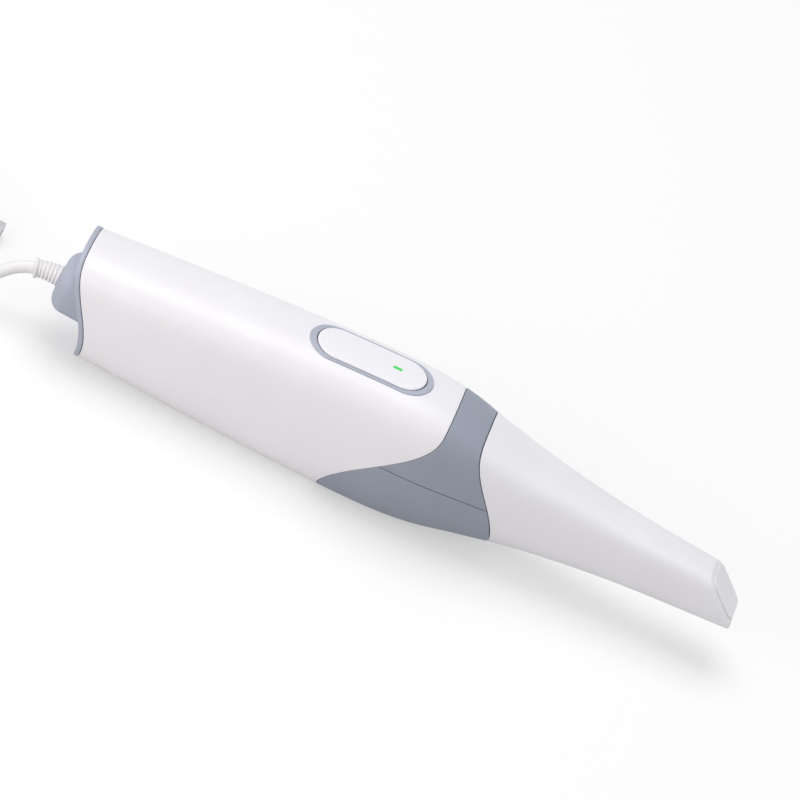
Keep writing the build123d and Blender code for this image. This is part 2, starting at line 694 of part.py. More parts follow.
# Tip: hollow shell with a slanted end and the scanning window underneath
scan_cut_z = end_low + tip_wall + scan_cut_rise
with BuildPart() as tip_shell:
    add(whole_form(0) & seam_zone(tip_seam, moving_gap, None, 0))
    add(tip_profile(0), mode=Mode.INTERSECT)
    add(whole_form(-tip_wall) & tip_profile(tip_wall), mode=Mode.SUBTRACT)
    with BuildSketch(Plane.XY.offset(scan_cut_z)):
        with Locations(((scan_rear_x + scan_front_x) / 2, 0)):
            RectangleRounded(scan_front_x - scan_rear_x, scan_width, scan_corner)
    extrude(amount=-scan_cut_z, mode=Mode.SUBTRACT)
tip_shell.part.label = "tip_shell"
export_step(tip_shell.part, "parts/tip_shell.step")

with BuildPart() as tip_mirror:
    add(whole_form(-tip_wall - mirror_side_gap) & tip_profile(tip_wall))
    add(tip_profile(tip_wall + mirror_thickness), mode=Mode.SUBTRACT)
    add(slab(far_rear, far_front, mirror_low_z, mirror_high_z), mode=Mode.INTERSECT)
tip_mirror.part.label = "tip_mirror"
export_step(tip_mirror.part, "parts/tip_mirror.step")

# Cable: straight runs joined by arcs as large as the runs allow
run_vectors = [Vector(*end) - Vector(*start) for start, end in zip(cable_route, cable_route[1:])]
bend_radii = []
for before, after in zip(run_vectors, run_vectors[1:]):
    half_turn = radians(before.get_angle(after)) / 2
    bend_radii.append(0.45 * min(before.length, after.length) / tan(half_turn))
print("cable bend radii", [round(radius, 1) for radius in bend_radii])

with BuildPart() as cable:
    with BuildLine() as cable_path:
        FilletPolyline(*cable_route, radius=bend_radii)
    with BuildSketch(Plane(cable_route[0], z_dir=run_vectors[0])):
        Circle(cable_diameter / 2)
    sweep()
cable.part.label = "cable"
export_step(cable.part, "parts/cable.step")
path_length = cable_path.wire().length
print("cable volume", round(cable.part.volume, 1), "of", round(path_length * 3.1416 * cable_diameter ** 2 / 4, 1))

with BuildPart() as cable_coil:
    with BuildSketch(Plane.XY):
        with Locations((coil_x, coil_y)):
            Circle(coil_outer_radius)
            Circle(coil_inner_radius, mode=Mode.SUBTRACT)
    extrude(amount=coil_height)
cable_coil.part.label = "cable_coil"
export_step(cable_coil.part, "parts/cable_coil.step")

# Plug beside the coil, its boot on the last turn
plug_y = coil_y + coil_outer_radius - cable_diameter / 2
plug_z = plug_body_height / 2
boot_start_x = coil_x + plug_start_offset
body_start_x = boot_start_x + plug_boot_length
body_end_x = body_start_x + plug_body_length
with BuildPart() as plug_body:
    with BuildSketch(Plane.YZ.offset(boot_start_x)):
        with Locations((plug_y, plug_z)):
            Circle(plug_boot_start_diameter / 2)
    with BuildSketch(Plane.YZ.offset(body_start_x)):
        with Locations((plug_y, plug_z)):
            Circle(plug_boot_end_diameter / 2)
    loft()
    with BuildSketch(Plane.YZ.offset(body_start_x)):
        with Locations((plug_y, plug_z)):
            RectangleRounded(plug_body_width, plug_body_height, plug_body_corner)
    extrude(amount=plug_body_length)
plug_body.part.label = "plug_body"
export_step(plug_body.part, "parts/plug_body.step")

with BuildPart() as plug_shell:
    with BuildSketch(Plane.YZ.offset(body_end_x)):
        with Locations((plug_y, plug_z)):
            Rectangle(plug_shell_width, plug_shell_height)
            Rectangle(
                plug_shell_width - 2 * plug_shell_wall, plug_shell_height - 2 * plug_shell_wall, mode=Mode.SUBTRACT
            )
    extrude(amount=plug_shell_length)
plug_shell.part.label = "plug_shell"
export_step(plug_shell.part, "parts/plug_shell.step")

tongue_z = plug_z + plug_shell_height / 2 - plug_shell_wall - plug_tongue_thickness / 2
with BuildPart() as plug_tongue:
    with BuildSketch(Plane.YZ.offset(body_end_x)):
        with Locations((plug_y, tongue_z)):
            Rectangle(plug_shell_width - 2 * plug_shell_wall, plug_tongue_thickness)
    extrude(amount=plug_shell_length - plug_tongue_gap)
plug_tongue.part.label = "plug_tongue"
export_step(plug_tongue.part, "parts/plug_tongue.step")
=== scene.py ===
"""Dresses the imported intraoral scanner: skins, button, tip, cable, finishes, light and camera.

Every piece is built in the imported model's frame, in metres: the handle lies along X with its
tip towards +X and its button on top, and Z is up from the flat that it rests on.
"""
import logging
from dataclasses import dataclass, field, replace
from enum import Enum
from functools import partial
from math import atan2, cos, pi, radians, sin, sqrt, tan
from typing import Callable, Iterable, Sequence

import bmesh
import bpy
from mathutils import Matrix, Vector


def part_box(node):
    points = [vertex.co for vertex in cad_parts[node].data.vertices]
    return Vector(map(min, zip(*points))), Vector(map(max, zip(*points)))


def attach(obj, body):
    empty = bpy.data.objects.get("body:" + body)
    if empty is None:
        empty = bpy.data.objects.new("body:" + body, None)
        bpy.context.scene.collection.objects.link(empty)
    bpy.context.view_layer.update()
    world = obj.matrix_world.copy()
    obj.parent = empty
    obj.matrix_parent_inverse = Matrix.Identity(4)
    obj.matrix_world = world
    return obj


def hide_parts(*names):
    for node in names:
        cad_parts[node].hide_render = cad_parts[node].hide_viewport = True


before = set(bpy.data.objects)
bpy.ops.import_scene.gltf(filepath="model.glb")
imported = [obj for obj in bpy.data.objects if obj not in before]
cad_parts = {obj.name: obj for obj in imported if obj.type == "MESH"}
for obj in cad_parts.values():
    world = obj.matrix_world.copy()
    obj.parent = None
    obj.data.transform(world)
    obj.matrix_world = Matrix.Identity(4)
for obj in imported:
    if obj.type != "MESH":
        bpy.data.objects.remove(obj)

MM = 0.001
HAIR = 0.01 * MM
WELD = 1e-7
CUTTER_WELD = 1e-8
HALVINGS = 20
log = logging.getLogger("scanner")

Grid = list[list[Vector]]


def mm(*values: float) -> tuple[float, ...]:
    """Turns millimetres into metres.

    Args:
        values: Lengths in millimetres.

    Returns:
        The same lengths in metres.
    """
    return tuple(value * MM for value in values)


def smooth(t: float) -> float:
    """Eases t from 0 to 1 and holds it outside that range."""
    t = min(max(t, 0.0), 1.0)
    return t * t * (3 - 2 * t)


def bezier(a: float, b: float, c: float, d: float, t: float) -> float:
    """Value at t of the cubic with the control values a, b, c and d."""
    s = 1 - t
    return a * s ** 3 + 3 * b * s * s * t + 3 * c * s * t * t + d * t ** 3


def solve(rising: Callable[[float], float], goal: float) -> float:
    """Finds t between 0 and 1 where a rising function reaches a goal.

    Args:
        rising: Function that rises from t = 0 to t = 1.
        goal: Value looked for.

    Returns:
        The value of t, within a millionth.
    """
    low, high = 0.0, 1.0
    for _ in range(HALVINGS):
        middle = (low + high) / 2
        if rising(middle) < goal:
            low = middle
        else:
            high = middle
    return (low + high) / 2


class Body(Enum):
    """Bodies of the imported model."""

    HANDLE = "handle"
    BUTTON = "button"
    TIP = "tip"


@dataclass(frozen=True)
class Station:
    """Size of the form at one place along X."""

    x: float
    low: float
    high: float
    half_width: float


@dataclass(frozen=True)
class Seam:
    """S-curve of a seam, seen from the side and cut straight through the width."""

    top_x: float
    low_x: float
    top_z: float
    low_z: float

    def x_at(self, z: float) -> float:
        """Place along X of the seam at the height z."""
        share = smooth((z - self.low_z) / (self.top_z - self.low_z))
        return self.low_x + (self.top_x - self.low_x) * share

    def moved(self, distance: float) -> "Seam":
        """The same curve, moved along X."""
        return replace(self, top_x=self.top_x + distance, low_x=self.low_x + distance)


@dataclass(frozen=True)
class Form:
    """Outer form of handle and tip: rounded-square sections on smooth guide curves."""

    stations: tuple[Station, ...]
    squareness: float
    rest_z: float
    first_guess_z: float = 30.0 * MM
    cut_passes: int = 14

    def guide(self, x: float) -> tuple[float, float, float]:
        """Reads the guide curves.

        Args:
            x: Place along X.

        Returns:
            Low edge, high edge and half width of the section there.
        """
        rows = self.stations
        last = len(rows) - 1
        start = max([i for i in range(last) if rows[i].x <= x], default=0)
        span = rows[start + 1].x - rows[start].x
        t = (x - rows[start].x) / span

        def slope(index: int, name: str) -> float:
            """Slope of a guide curve at a station."""
            before, after = rows[max(index - 1, 0)], rows[min(index + 1, last)]
            return (getattr(after, name) - getattr(before, name)) / (after.x - before.x)

        values = []
        for name in ("low", "high", "half_width"):
            a, d = getattr(rows[start], name), getattr(rows[start + 1], name)
            b = a + slope(start, name) * span / 3
            c = d - slope(start + 1, name) * span / 3
            values.append(bezier(a, b, c, d, t))
        return values[0], values[1], values[2]

    def point(self, x: float, turn: float, grow: float = 0.0) -> Vector:
        """Point of the surface.

        Args:
            x: Place along X.
            turn: Way round the section, from 0 at the belly over 0.25 at +Y and 0.5 at the top.
            grow: Distance that the surface is moved outwards.

        Returns:
            The point.
        """
        low, high, half = self.guide(x)
        y, z = section_point(low - grow, high + grow, half + grow, self.squareness, turn)
        return Vector((x, y, max(z, self.rest_z)))

    def turn_at(self, x: float, z: float, grow: float = 0.0) -> float:
        """Way round the section, on the +Y side, at the height z.

        Args:
            x: Place along X.
            z: Height on the surface.
            grow: Distance that the surface is moved outwards.

        Returns:
            The way round, between 0 at the belly and 0.5 at the top.
        """
        low, high, _ = self.guide(x)
        low, high = low - grow, high + grow
        middle = (low + high) / 2
        edge = low if z < middle else high
        share = (z - middle) / (edge - middle)
        v = solve(lambda t: 1 - bezier(1, 1, self.squareness, 0, t), 1 - share)
        return v / 4 if z < middle else 0.5 - v / 4

    def top_z(self, x: float, y: float, grow: float = 0.0) -> float:
        """Height of the upper surface over the point x, y.

        Args:
            x: Place along X.
            y: Place along Y.
            grow: Distance that the surface is moved outwards.

        Returns:
            The height.
        """
        low, high, half = self.guide(x)
        low, high, half = low - grow, high + grow, half + grow
        v = solve(lambda t: bezier(0, self.squareness, 1, 1, t), min(abs(y) / half, 1.0))
        middle = (low + high) / 2
        return middle + (high - middle) * bezier(1, 1, self.squareness, 0, v)

    def cut_x(
        self, edge: Callable[[float], float], turn_of: Callable[[float], float], grow: float
    ) -> float:
        """Place along X where a line along the surface meets a cut.

        Args:
            edge: Place of the cut along X at a height.
            turn_of: Way round the section of the line at a place along X.
            grow: Distance that the surface is moved outwards.

        Returns:
            The place along X.
        """
        x = edge(self.first_guess_z)
        for _ in range(self.cut_passes):
            x = edge(self.point(x, turn_of(x), grow).z)
        return x


def section_point(low: float, high: float, half: float, pull: float, turn: float) -> tuple[float, float]:
    """Point of a rounded-square section made of four cubic quarters.

    Args:
        low: Low edge.
        high: High edge.
        half: Half width.
        pull: Squareness, the share of each side that its control points reach.
        turn: Way round from the low centre.

    Returns:
        y and z.
    """
    turn %= 1.0
    side, u = (1, turn) if turn <= 0.5 else (-1, 1 - turn)
    v, edge = (4 * u, low) if u <= 0.25 else (2 - 4 * u, high)
    middle = (low + high) / 2
    return side * half * bezier(0, pull, 1, 1, v), middle + (edge - middle) * bezier(1, 1, pull, 0, v)


@dataclass(frozen=True)
class Design:
    """Sizes that the pieces share with the model."""

    form: Form = Form(
        stations=tuple(
            Station(*mm(*row))
            for row in (
                (-142.0, 3.2, 45.6, 18.6),
                (-100.0, 1.0, 49.6, 20.2),
                (-55.0, -0.4, 53.5, 21.4),
                (-8.0, -0.4, 56.0, 22.0),
                (14.0, 1.4, 54.8, 21.0),
                (34.0, 5.8, 50.7, 18.0),
                (58.0, 11.0, 46.2, 14.6),
                (95.0, 16.0, 41.6, 11.3),
                (146.0, 19.7, 38.3, 8.8),
            )
        ),
        squareness=0.84,
        rest_z=0.0,
    )
    rear_seam: Seam = Seam(*mm(-138.2, -123.8, 51.0, 10.0))
    sleeve_seam: Seam = Seam(*mm(13.1, -22.0, 50.0, 4.0))
    tip_seam: Seam = Seam(*mm(27.3, 46.3, 54.0, 12.0))
    parting_z: float = 27.5 * MM
    shell_wall: float = 2.2 * MM
    tip_wall: float = 2.0 * MM
    seam_gap: float = 0.25 * MM
    moving_gap: float = 0.35 * MM
    edge_radius: float = 0.3 * MM


DESIGN = Design()


def bridge(rows: int, columns: int, closed: bool) -> list[tuple[int, ...]]:
    """Quads between the rows of a grid whose points are numbered row by row.

    Args:
        rows: Number of rows.
        columns: Number of points in a row.
        closed: Whether each row is a ring.

    Returns:
        The faces.
    """
    steps = columns if closed else columns - 1
    faces = []
    for start in range(0, (rows - 1) * columns, columns):
        for c in range(steps):
            after = (c + 1) % columns
            faces.append((start + c, start + after, start + columns + after, start + columns + c))
    return faces


def add_object(name: str, data: bpy.types.ID) -> bpy.types.Object:
    """Adds an object with its data to the scene.

    Args:
        name: Name of the object.
        data: Its mesh, curve, camera or lamp.

    Returns:
        The object.
    """
    added = bpy.data.objects.new(name, data)
    bpy.context.scene.collection.objects.link(added)
    return added


@dataclass
class Piece:
    """A mesh piece on its way from points to a finished object."""

    name: str
    body: Body
    slot: str
    material: bpy.types.Material
    object: bpy.types.Object = field(init=False)

    def from_grid(self, grid: Grid, closed: bool, caps: bool = False) -> "Piece":
        """Makes the mesh of one grid of points.

        Args:
            grid: Rows of points.
            closed: Whether each row is a ring.
            caps: Whether the first and last row are each closed by a face.

        Returns:
            The piece itself.
        """
        rows, columns = len(grid), len(grid[0])
        faces = bridge(rows, columns, closed)
        if caps:
            faces.append(tuple(range(columns)))
            faces.append(tuple(reversed(range((rows - 1) * columns, rows * columns))))
        return self.from_faces([point for row in grid for point in row], faces)

    def from_walls(self, outer: Grid, inner: Grid, closed: bool) -> "Piece":
        """Makes a closed wall between two grids of the same size.

        Args:
            outer: Rows of points of the outer skin.
            inner: Rows of points of the inner skin.
            closed: Whether each row is a ring.

        Returns:
            The piece itself.
        """
        if closed:
            loop = outer + inner[::-1] + [outer[0]]
            return self.from_grid(loop, closed=True)
        rows, columns = len(outer), len(outer[0])
        count = rows * columns
        skin = bridge(rows, columns, closed=False)
        faces = skin + [tuple(index + count for index in reversed(face)) for face in skin]
        rim = (
            [c for c in range(columns)]
            + [r * columns + columns - 1 for r in range(1, rows)]
            + [(rows - 1) * columns + c for c in reversed(range(columns - 1))]
            + [r * columns for r in reversed(range(1, rows - 1))]
        )
        faces += [(b, a, a + count, b + count) for a, b in zip(rim, rim[1:] + rim[:1])]
        points = [point for skin_grid in (outer, inner) for row in skin_grid for point in row]
        return self.from_faces(points, faces)

    def from_faces(self, points: Sequence[Vector], faces: Iterable[tuple[int, ...]]) -> "Piece":
        """Makes the mesh from points and faces, welded and with its normals outwards.

        Args:
            points: Points of the mesh.
            faces: Numbers of the points round each face.

        Returns:
            The piece itself.
        """
        mesh = bpy.data.meshes.new(self.name)
        mesh.from_pydata([tuple(point) for point in points], [], list(faces))
        work = bmesh.new()
        work.from_mesh(mesh)
        bmesh.ops.remove_doubles(work, verts=work.verts, dist=WELD)
        bmesh.ops.dissolve_degenerate(work, edges=work.edges, dist=WELD)
        bmesh.ops.recalc_face_normals(work, faces=work.faces)
        for face in work.faces:
            face.smooth = True
        work.to_mesh(mesh)
        work.free()
        mesh.materials.append(self.material)
        self.object = add_object(self.name, mesh)
        return self

    def round_edges(self, radius: float, angle: float = 40.0, segments: int = 3) -> "Piece":
        """Rounds every edge sharper than an angle.

        Args:
            radius: Radius of the rounding.
            angle: Smallest angle in degrees of an edge that is rounded.
            segments: Number of faces across the rounding.

        Returns:
            The piece itself.
        """
        bevel = self.object.modifiers.new("Rounding", "BEVEL")
        bevel.width = radius
        bevel.segments = segments
        bevel.limit_method = "ANGLE"
        bevel.angle_limit = radians(angle)
        bevel.miter_outer = "MITER_ARC"
        return self.bake()

    def cut(self, cutter: bpy.types.Object) -> "Piece":
        """Takes the cutter's solid away and deletes the cutter.

        Args:
            cutter: Object whose solid is taken away.

        Returns:
            The piece itself.
        """
        boolean = self.object.modifiers.new("Opening", "BOOLEAN")
        boolean.operation = "DIFFERENCE"
        boolean.solver = "EXACT"
        boolean.object = cutter
        self.bake()
        bpy.data.objects.remove(cutter)
        return self

    def bake(self) -> "Piece":
        """Applies the modifiers to the mesh.

        Returns:
            The piece itself.
        """
        graph = bpy.context.evaluated_depsgraph_get()
        mesh = bpy.data.meshes.new_from_object(self.object.evaluated_get(graph), depsgraph=graph)
        self.object.modifiers.clear()
        self.object.data = mesh
        return self

    def finish(self, *nodes: str) -> bpy.types.Object:
        """Evens out the shading, and sets the piece on its body.

        Args:
            nodes: Nodes of the model that the piece stands for.

        Returns:
            The finished object.
        """
        weighted = self.object.modifiers.new("Shading", "WEIGHTED_NORMAL")
        weighted.mode = "FACE_AREA"
        weighted.keep_sharp = True
        self.bake()
        self.object.data.name = self.name
        if nodes:
            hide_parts(*nodes)
        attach(self.object, self.body.value)
        log.info("%s: %d faces on %s", self.name, len(self.object.data.polygons), self.body.value)
        return self.object


def even(count: int) -> list[float]:
    """Evenly spaced values from 0 to 1."""
    return [index / (count - 1) for index in range(count)]


def rounded_outline(length: float, width: float, corner: float, steps: int = 12) -> list[tuple[float, float]]:
    """Points round a rectangle with rounded corners.

    Args:
        length: Length along the first axis.
        width: Width along the second axis.
        corner: Corner radius.
        steps: Number of faces round each corner.

    Returns:
        Places on both axes, measured from the middle.
    """
    points = []
    for quarter in range(4):
        middle_u = (length / 2 - corner) * (1 if quarter in (0, 3) else -1)
        middle_v = (width / 2 - corner) * (1 if quarter < 2 else -1)
        for step in range(steps + 1):
            angle = pi / 2 * (quarter + step / steps)
            points.append((middle_u + corner * cos(angle), middle_v + corner * sin(angle)))
    return points


def rounded_edge(radius: float, proud: float, steps: int = 4) -> list[tuple[float, float]]:
    """Section of a rounded upper edge, from its foot to its top.

    Args:
        radius: Radius of the rounding.
        proud: Height of the top.
        steps: Number of faces across the rounding.

    Returns:
        Inset and height of each point.
    """
    angles = [pi / 2 * step / steps for step in range(steps + 1)]
    return [(radius * (1 - cos(angle)), proud - radius * (1 - sin(angle))) for angle in angles]


def slot_prism(
    x: float, length: float, width: float, corner: float, low: float, high: float
) -> bpy.types.Object:
    """Upright prism with a rounded-rectangle outline, used as a cutter.

    Args:
        x: Middle of the outline along X.
        length: Length along X.
        width: Width along Y.
        corner: Corner radius.
        low: Low end.
        high: High end.

    Returns:
        The cutter.
    """
    outline = rounded_outline(length, width, corner)
    work = bmesh.new()
    rings = [[work.verts.new((x + u, v, z)) for u, v in outline] for z in (low, high)]
    bmesh.ops.remove_doubles(work, verts=work.verts, dist=CUTTER_WELD)
    work.faces.new(list(reversed(rings[0])))
    work.faces.new(rings[1])
    for index in range(len(outline)):
        after = (index + 1) % len(outline)
        work.faces.new((rings[0][index], rings[0][after], rings[1][after], rings[1][index]))
    mesh = bpy.data.meshes.new("cutter")
    work.to_mesh(mesh)
    work.free()
    return add_object("cutter", mesh)


class Shader:
    """Shorthand for building a node tree."""

    def __init__(self, tree: bpy.types.NodeTree) -> None:
        """Starts on an emptied tree."""
        self.tree = tree
        tree.nodes.clear()

    def node(self, kind: str, inputs: dict | None = None, **settings: object) -> bpy.types.Node:
        """Adds a node.

        Args:
            kind: Blender's type name of the node, without the ShaderNode prefix.
            inputs: Socket values by name or number; an output socket is linked instead.
            settings: Attributes of the node.

        Returns:
            The node.
        """
        node = self.tree.nodes.new(kind if kind.startswith("Node") else "ShaderNode" + kind)
        for name, value in settings.items():
            setattr(node, name, value)
        for key, value in (inputs or {}).items():
            if isinstance(value, bpy.types.NodeSocket):
                self.tree.links.new(value, node.inputs[key])
            else:
                node.inputs[key].default_value = value
        return node

    def math(self, operation: str, *values: object) -> bpy.types.NodeSocket:
        """Adds a math node and returns its output."""
        return self.node("Math", dict(enumerate(values)), operation=operation).outputs[0]

    def span(
        self, value: bpy.types.NodeSocket, low: float, high: float, to_low: float, to_high: float
    ) -> bpy.types.NodeSocket:
        """Maps a value from one range to another, held at both ends."""
        ends = {"Value": value, "From Min": low, "From Max": high, "To Min": to_low, "To Max": to_high}
        return self.node("MapRange", ends).outputs["Result"]

    def blend(self, factor: bpy.types.NodeSocket, a: object, b: object) -> bpy.types.NodeSocket:
        """Mixes two colours and returns the mixed colour."""
        return self.node("Mix", {0: factor, 6: a, 7: b}, data_type="RGBA").outputs[2]


def linear(red: float, green: float, blue: float) -> tuple[float, float, float, float]:
    """Linear colour of an sRGB colour written from 0 to 255.

    Args:
        red: Red channel.
        green: Green channel.
        blue: Blue channel.

    Returns:
        The linear channels, with full opacity.
    """

    def channel(value: float) -> float:
        """Linear value of one channel."""
        share = value / 255
        return share / 12.92 if share <= 0.04045 else ((share + 0.055) / 1.055) ** 2.4

    return channel(red), channel(green), channel(blue), 1.0


def surface_group() -> bpy.types.ShaderNodeTree:
    """Node group of a moulded surface's shared effects, in the model's own metres.

    Returns:
        The group: Grain is the height of the fine texture, Cloud a broad drift, and the third output
        a patchy mask of the sharp edges, where the finishes paint highlight and shade, partly standing for
        wear; each from 0 to 1.
    """
    group = bpy.data.node_groups.new("surface_effects", "ShaderNodeTree")
    group.interface.new_socket("Grain Size", in_out="INPUT", socket_type="NodeSocketFloat")
    for name in ("Grain", "Cloud", "Wear"):
        group.interface.new_socket(name, in_out="OUTPUT", socket_type="NodeSocketFloat")
    shader = Shader(group)
    entry = shader.node("NodeGroupInput")
    place = shader.node("TexCoord").outputs["Object"]
    scale = shader.math("DIVIDE", 1.0, entry.outputs["Grain Size"])
    fine = shader.node("TexNoise", {"Vector": place, "Scale": scale, "Detail": 2.0, "Roughness": 0.6})
    cells = shader.node("TexVoronoi", {"Vector": place, "Scale": scale}, feature="SMOOTH_F1")
    rounded = shader.math("MULTIPLY", cells.outputs["Distance"], 0.4)
    grain = shader.math("MULTIPLY_ADD", fine.outputs["Fac"], 0.6, rounded)
    broad = shader.node("TexNoise", {"Vector": place, "Scale": 28.0, "Detail": 4.0, "Roughness": 0.55})
    cloud = shader.span(broad.outputs["Fac"], 0.3, 0.7, 0.0, 1.0)
    # Patchy mask of the sharp convex edges, where the finishes paint edge highlight and shade, partly
    # standing for wear.
    edge = shader.span(shader.node("NewGeometry").outputs["Pointiness"], 0.52, 0.6, 0.0, 1.0)
    patchy = shader.node("TexNoise", {"Vector": place, "Scale": 400.0, "Detail": 3.0})
    wear = shader.math("MULTIPLY", edge, shader.span(patchy.outputs["Fac"], 0.4, 0.65, 0.0, 1.0))
    shader.node("NodeGroupOutput", {"Grain": grain, "Cloud": cloud, "Wear": wear})
    return group


def begin_finish(
    name: str, effects: bpy.types.ShaderNodeTree, grain_size: float
) -> tuple[bpy.types.Material, Shader, bpy.types.bpy_prop_collection]:
    """Starts a material with the shared surface effects placed in it.

    Args:
        name: Name of the material.
        effects: Node group of the shared surface effects.
        grain_size: Size of the fine texture.

    Returns:
        The material, the builder of its nodes and the outputs of the effects.
    """
    material = bpy.data.materials.new(name)
    material.use_nodes = True
    shader = Shader(material.node_tree)
    group = shader.node("Group", node_tree=effects)
    group.inputs["Grain Size"].default_value = grain_size
    return material, shader, group.outputs


@dataclass(frozen=True)
class Finish:
    """Finish of a moulded, painted or machined surface."""

    name: str
    colour: tuple[float, float, float]
    drift: tuple[float, float, float]
    roughness: float
    grain_size: float = 0.35 * MM
    grain_depth: float = 0.006 * MM
    metallic: float = 0.0
    # Colour painted on the sharp edges and its share: a painted edge highlight where lighter than the base,
    # painted edge shade where darker, partly standing for wear.
    wear: tuple[float, float, float] | None = None
    painted_edge_light_and_wear_share: float = 0.25
    roughness_drift: float = 0.03
    grain_strength: float = 0.6

    def build(self, effects: bpy.types.ShaderNodeTree) -> bpy.types.Material:
        """Makes the material.

        Args:
            effects: Node group of the shared surface effects.

        Returns:
            The material.
        """
        material, shader, shared = begin_finish(self.name, effects, self.grain_size)
        grain, cloud, wear = (shared[name] for name in ("Grain", "Cloud", "Wear"))
        colour = shader.blend(cloud, linear(*self.colour), linear(*self.drift))
        # Edge colour over the mask: painted edge highlight where it is lighter, painted edge shade where it
        # is darker, partly standing for wear.
        if self.wear:
            share = shader.math("MULTIPLY", wear, self.painted_edge_light_and_wear_share)
            colour = shader.blend(share, colour, linear(*self.wear))
        smoothest, roughest = self.roughness - self.roughness_drift, self.roughness + self.roughness_drift
        rough = shader.span(cloud, 0.0, 1.0, smoothest, roughest)
        texture = {"Height": grain, "Strength": self.grain_strength, "Distance": self.grain_depth}
        bump = shader.node("Bump", texture)
        surface = shader.node(
            "BsdfPrincipled",
            {"Base Color": colour, "Roughness": rough, "Normal": bump.outputs[0], "Metallic": self.metallic},
        )
        shader.node("OutputMaterial", {"Surface": surface.outputs[0]})
        return material


@dataclass(frozen=True)
class Glow:
    """Finish of a lit window of tinted plastic."""

    name: str
    colour: tuple[float, float, float]
    strength: float
    roughness: float = 0.3
    dimmest: float = 0.75
    grain_size: float = 0.2 * MM

    def build(self, effects: bpy.types.ShaderNodeTree) -> bpy.types.Material:
        """Makes the material, its colour and glow drifting broadly between full and dimmed.

        Args:
            effects: Node group of the shared surface effects.

        Returns:
            The material.
        """
        material, shader, shared = begin_finish(self.name, effects, self.grain_size)
        shade = tuple(channel * self.dimmest for channel in self.colour)
        colour = shader.blend(shared["Cloud"], linear(*self.colour), linear(*shade))
        settings = {"Base Color": colour, "Roughness": self.roughness}
        settings |= {"Emission Color": colour, "Emission Strength": self.strength}
        surface = shader.node("BsdfPrincipled", settings)
        shader.node("OutputMaterial", {"Surface": surface.outputs[0]})
        return material


@dataclass(frozen=True)
class Glass:
    """Finish of coated optical glass."""

    name: str
    tint: tuple[float, float, float]
    index: float = 1.52
    roughness: tuple[float, float] = (0.01, 0.05)
    grain_size: float = 0.5 * MM

    def build(self, effects: bpy.types.ShaderNodeTree) -> bpy.types.Material:
        """Makes the material, with faint smears in its roughness.

        Args:
            effects: Node group of the shared surface effects.

        Returns:
            The material.
        """
        material, shader, shared = begin_finish(self.name, effects, self.grain_size)
        surface = shader.node(
            "BsdfPrincipled",
            {
                "Base Color": linear(*self.tint),
                "Roughness": shader.span(shared["Cloud"], 0.0, 1.0, *self.roughness),
                "Transmission Weight": 1.0,
                "IOR": self.index,
            },
        )
        shader.node("OutputMaterial", {"Surface": surface.outputs[0]})
        return material


# The last colour of each finish goes on its sharp edges: lighter ones are painted edge highlights, darker
# ones painted edge shade, both partly standing for wear.
WHITE_SHELL = Finish("white_shell", (243, 242, 246), (239, 237, 241), 0.36, wear=(232, 230, 232))
WHITE_TIP = Finish("white_tip", (239, 239, 244), (234, 233, 237), 0.42, wear=(246, 246, 248))
BLUE_GREY_GRIP = Finish(
    "blue_grey_grip", (152, 159, 174), (146, 152, 166), 0.5, grain_depth=0.012 * MM, wear=(182, 188, 200)
)
# The grip's blue-grey plastic painted lighter for the light that falls on the rear cap; the button ring uses
# it too.
BLUE_GREY_PAINTED_LIT = Finish("blue_grey_cap", (178, 184, 200), (171, 177, 192), 0.46, wear=(198, 203, 216))
WHITE_PAD = Finish("white_pad", (243, 243, 248), (240, 239, 244), 0.4, wear=(232, 230, 232))
RELIEF_RUBBER = Finish("relief_rubber", (238, 236, 238), (230, 227, 228), 0.55, grain_depth=0.01 * MM)
CABLE_JACKET = Finish("cable_jacket", (240, 240, 242), (233, 232, 233), 0.42, grain_size=0.6 * MM)
PLUG_PLASTIC = Finish("plug_plastic", (238, 238, 241), (231, 230, 233), 0.4, wear=(214, 212, 214))
INNER_FINISHES = (
    Finish("plug_metal", (196, 197, 200), (184, 185, 189), 0.28, metallic=1.0, wear=(226, 226, 228)),
    Finish("plug_insert", (236, 236, 234), (226, 226, 223), 0.4),
    Finish("frame_aluminium", (190, 192, 196), (176, 178, 183), 0.35, metallic=1.0),
    Finish("black_plastic", (30, 31, 34), (38, 39, 42), 0.45, wear=(70, 72, 76)),
    Finish("board_green", (22, 82, 54), (16, 68, 46), 0.35, grain_size=0.8 * MM),
    Finish("chip_black", (34, 34, 36), (42, 42, 44), 0.5),
    Finish("screw_steel", (168, 168, 172), (150, 150, 155), 0.3, metallic=1.0),
    Finish("mirror_glass", (235, 237, 238), (230, 232, 233), 0.04, metallic=1.0),
    Finish("seal_rubber", (46, 48, 52), (54, 56, 60), 0.65),
)


def keep_share(x: float, share: float) -> float:
    """Way round the section of a line that runs along the form at one share."""
    return share


def skin(
    rear: Callable[[float], float],
    front: Callable[[float], float],
    turn_of: Callable[[float, float], float],
    across: Sequence[float],
    along: Sequence[float],
    grow: float,
) -> Grid:
    """Grid on the form between two cuts.

    Args:
        rear: Place of the rear cut along X at a height.
        front: Place of the front cut along X at a height.
        turn_of: Way round the section at a place along X, for a share across the patch.
        across: Shares across the patch.
        along: Shares from the rear cut to the front cut.
        grow: Distance that the surface is moved outwards.

    Returns:
        Rows of points from the rear cut to the front cut.
    """
    form = DESIGN.form
    lines = []
    for share in across:
        turn = partial(turn_of, share=share)
        start, end = form.cut_x(rear, turn, grow), form.cut_x(front, turn, grow)
        places = [start + (end - start) * step for step in along]
        lines.append([form.point(x, turn(x), grow) for x in places])
    return [list(row) for row in zip(*lines)]


def around(count: int) -> list[float]:
    """Evenly spaced shares round a closed ring."""
    return [index / count for index in range(count)]


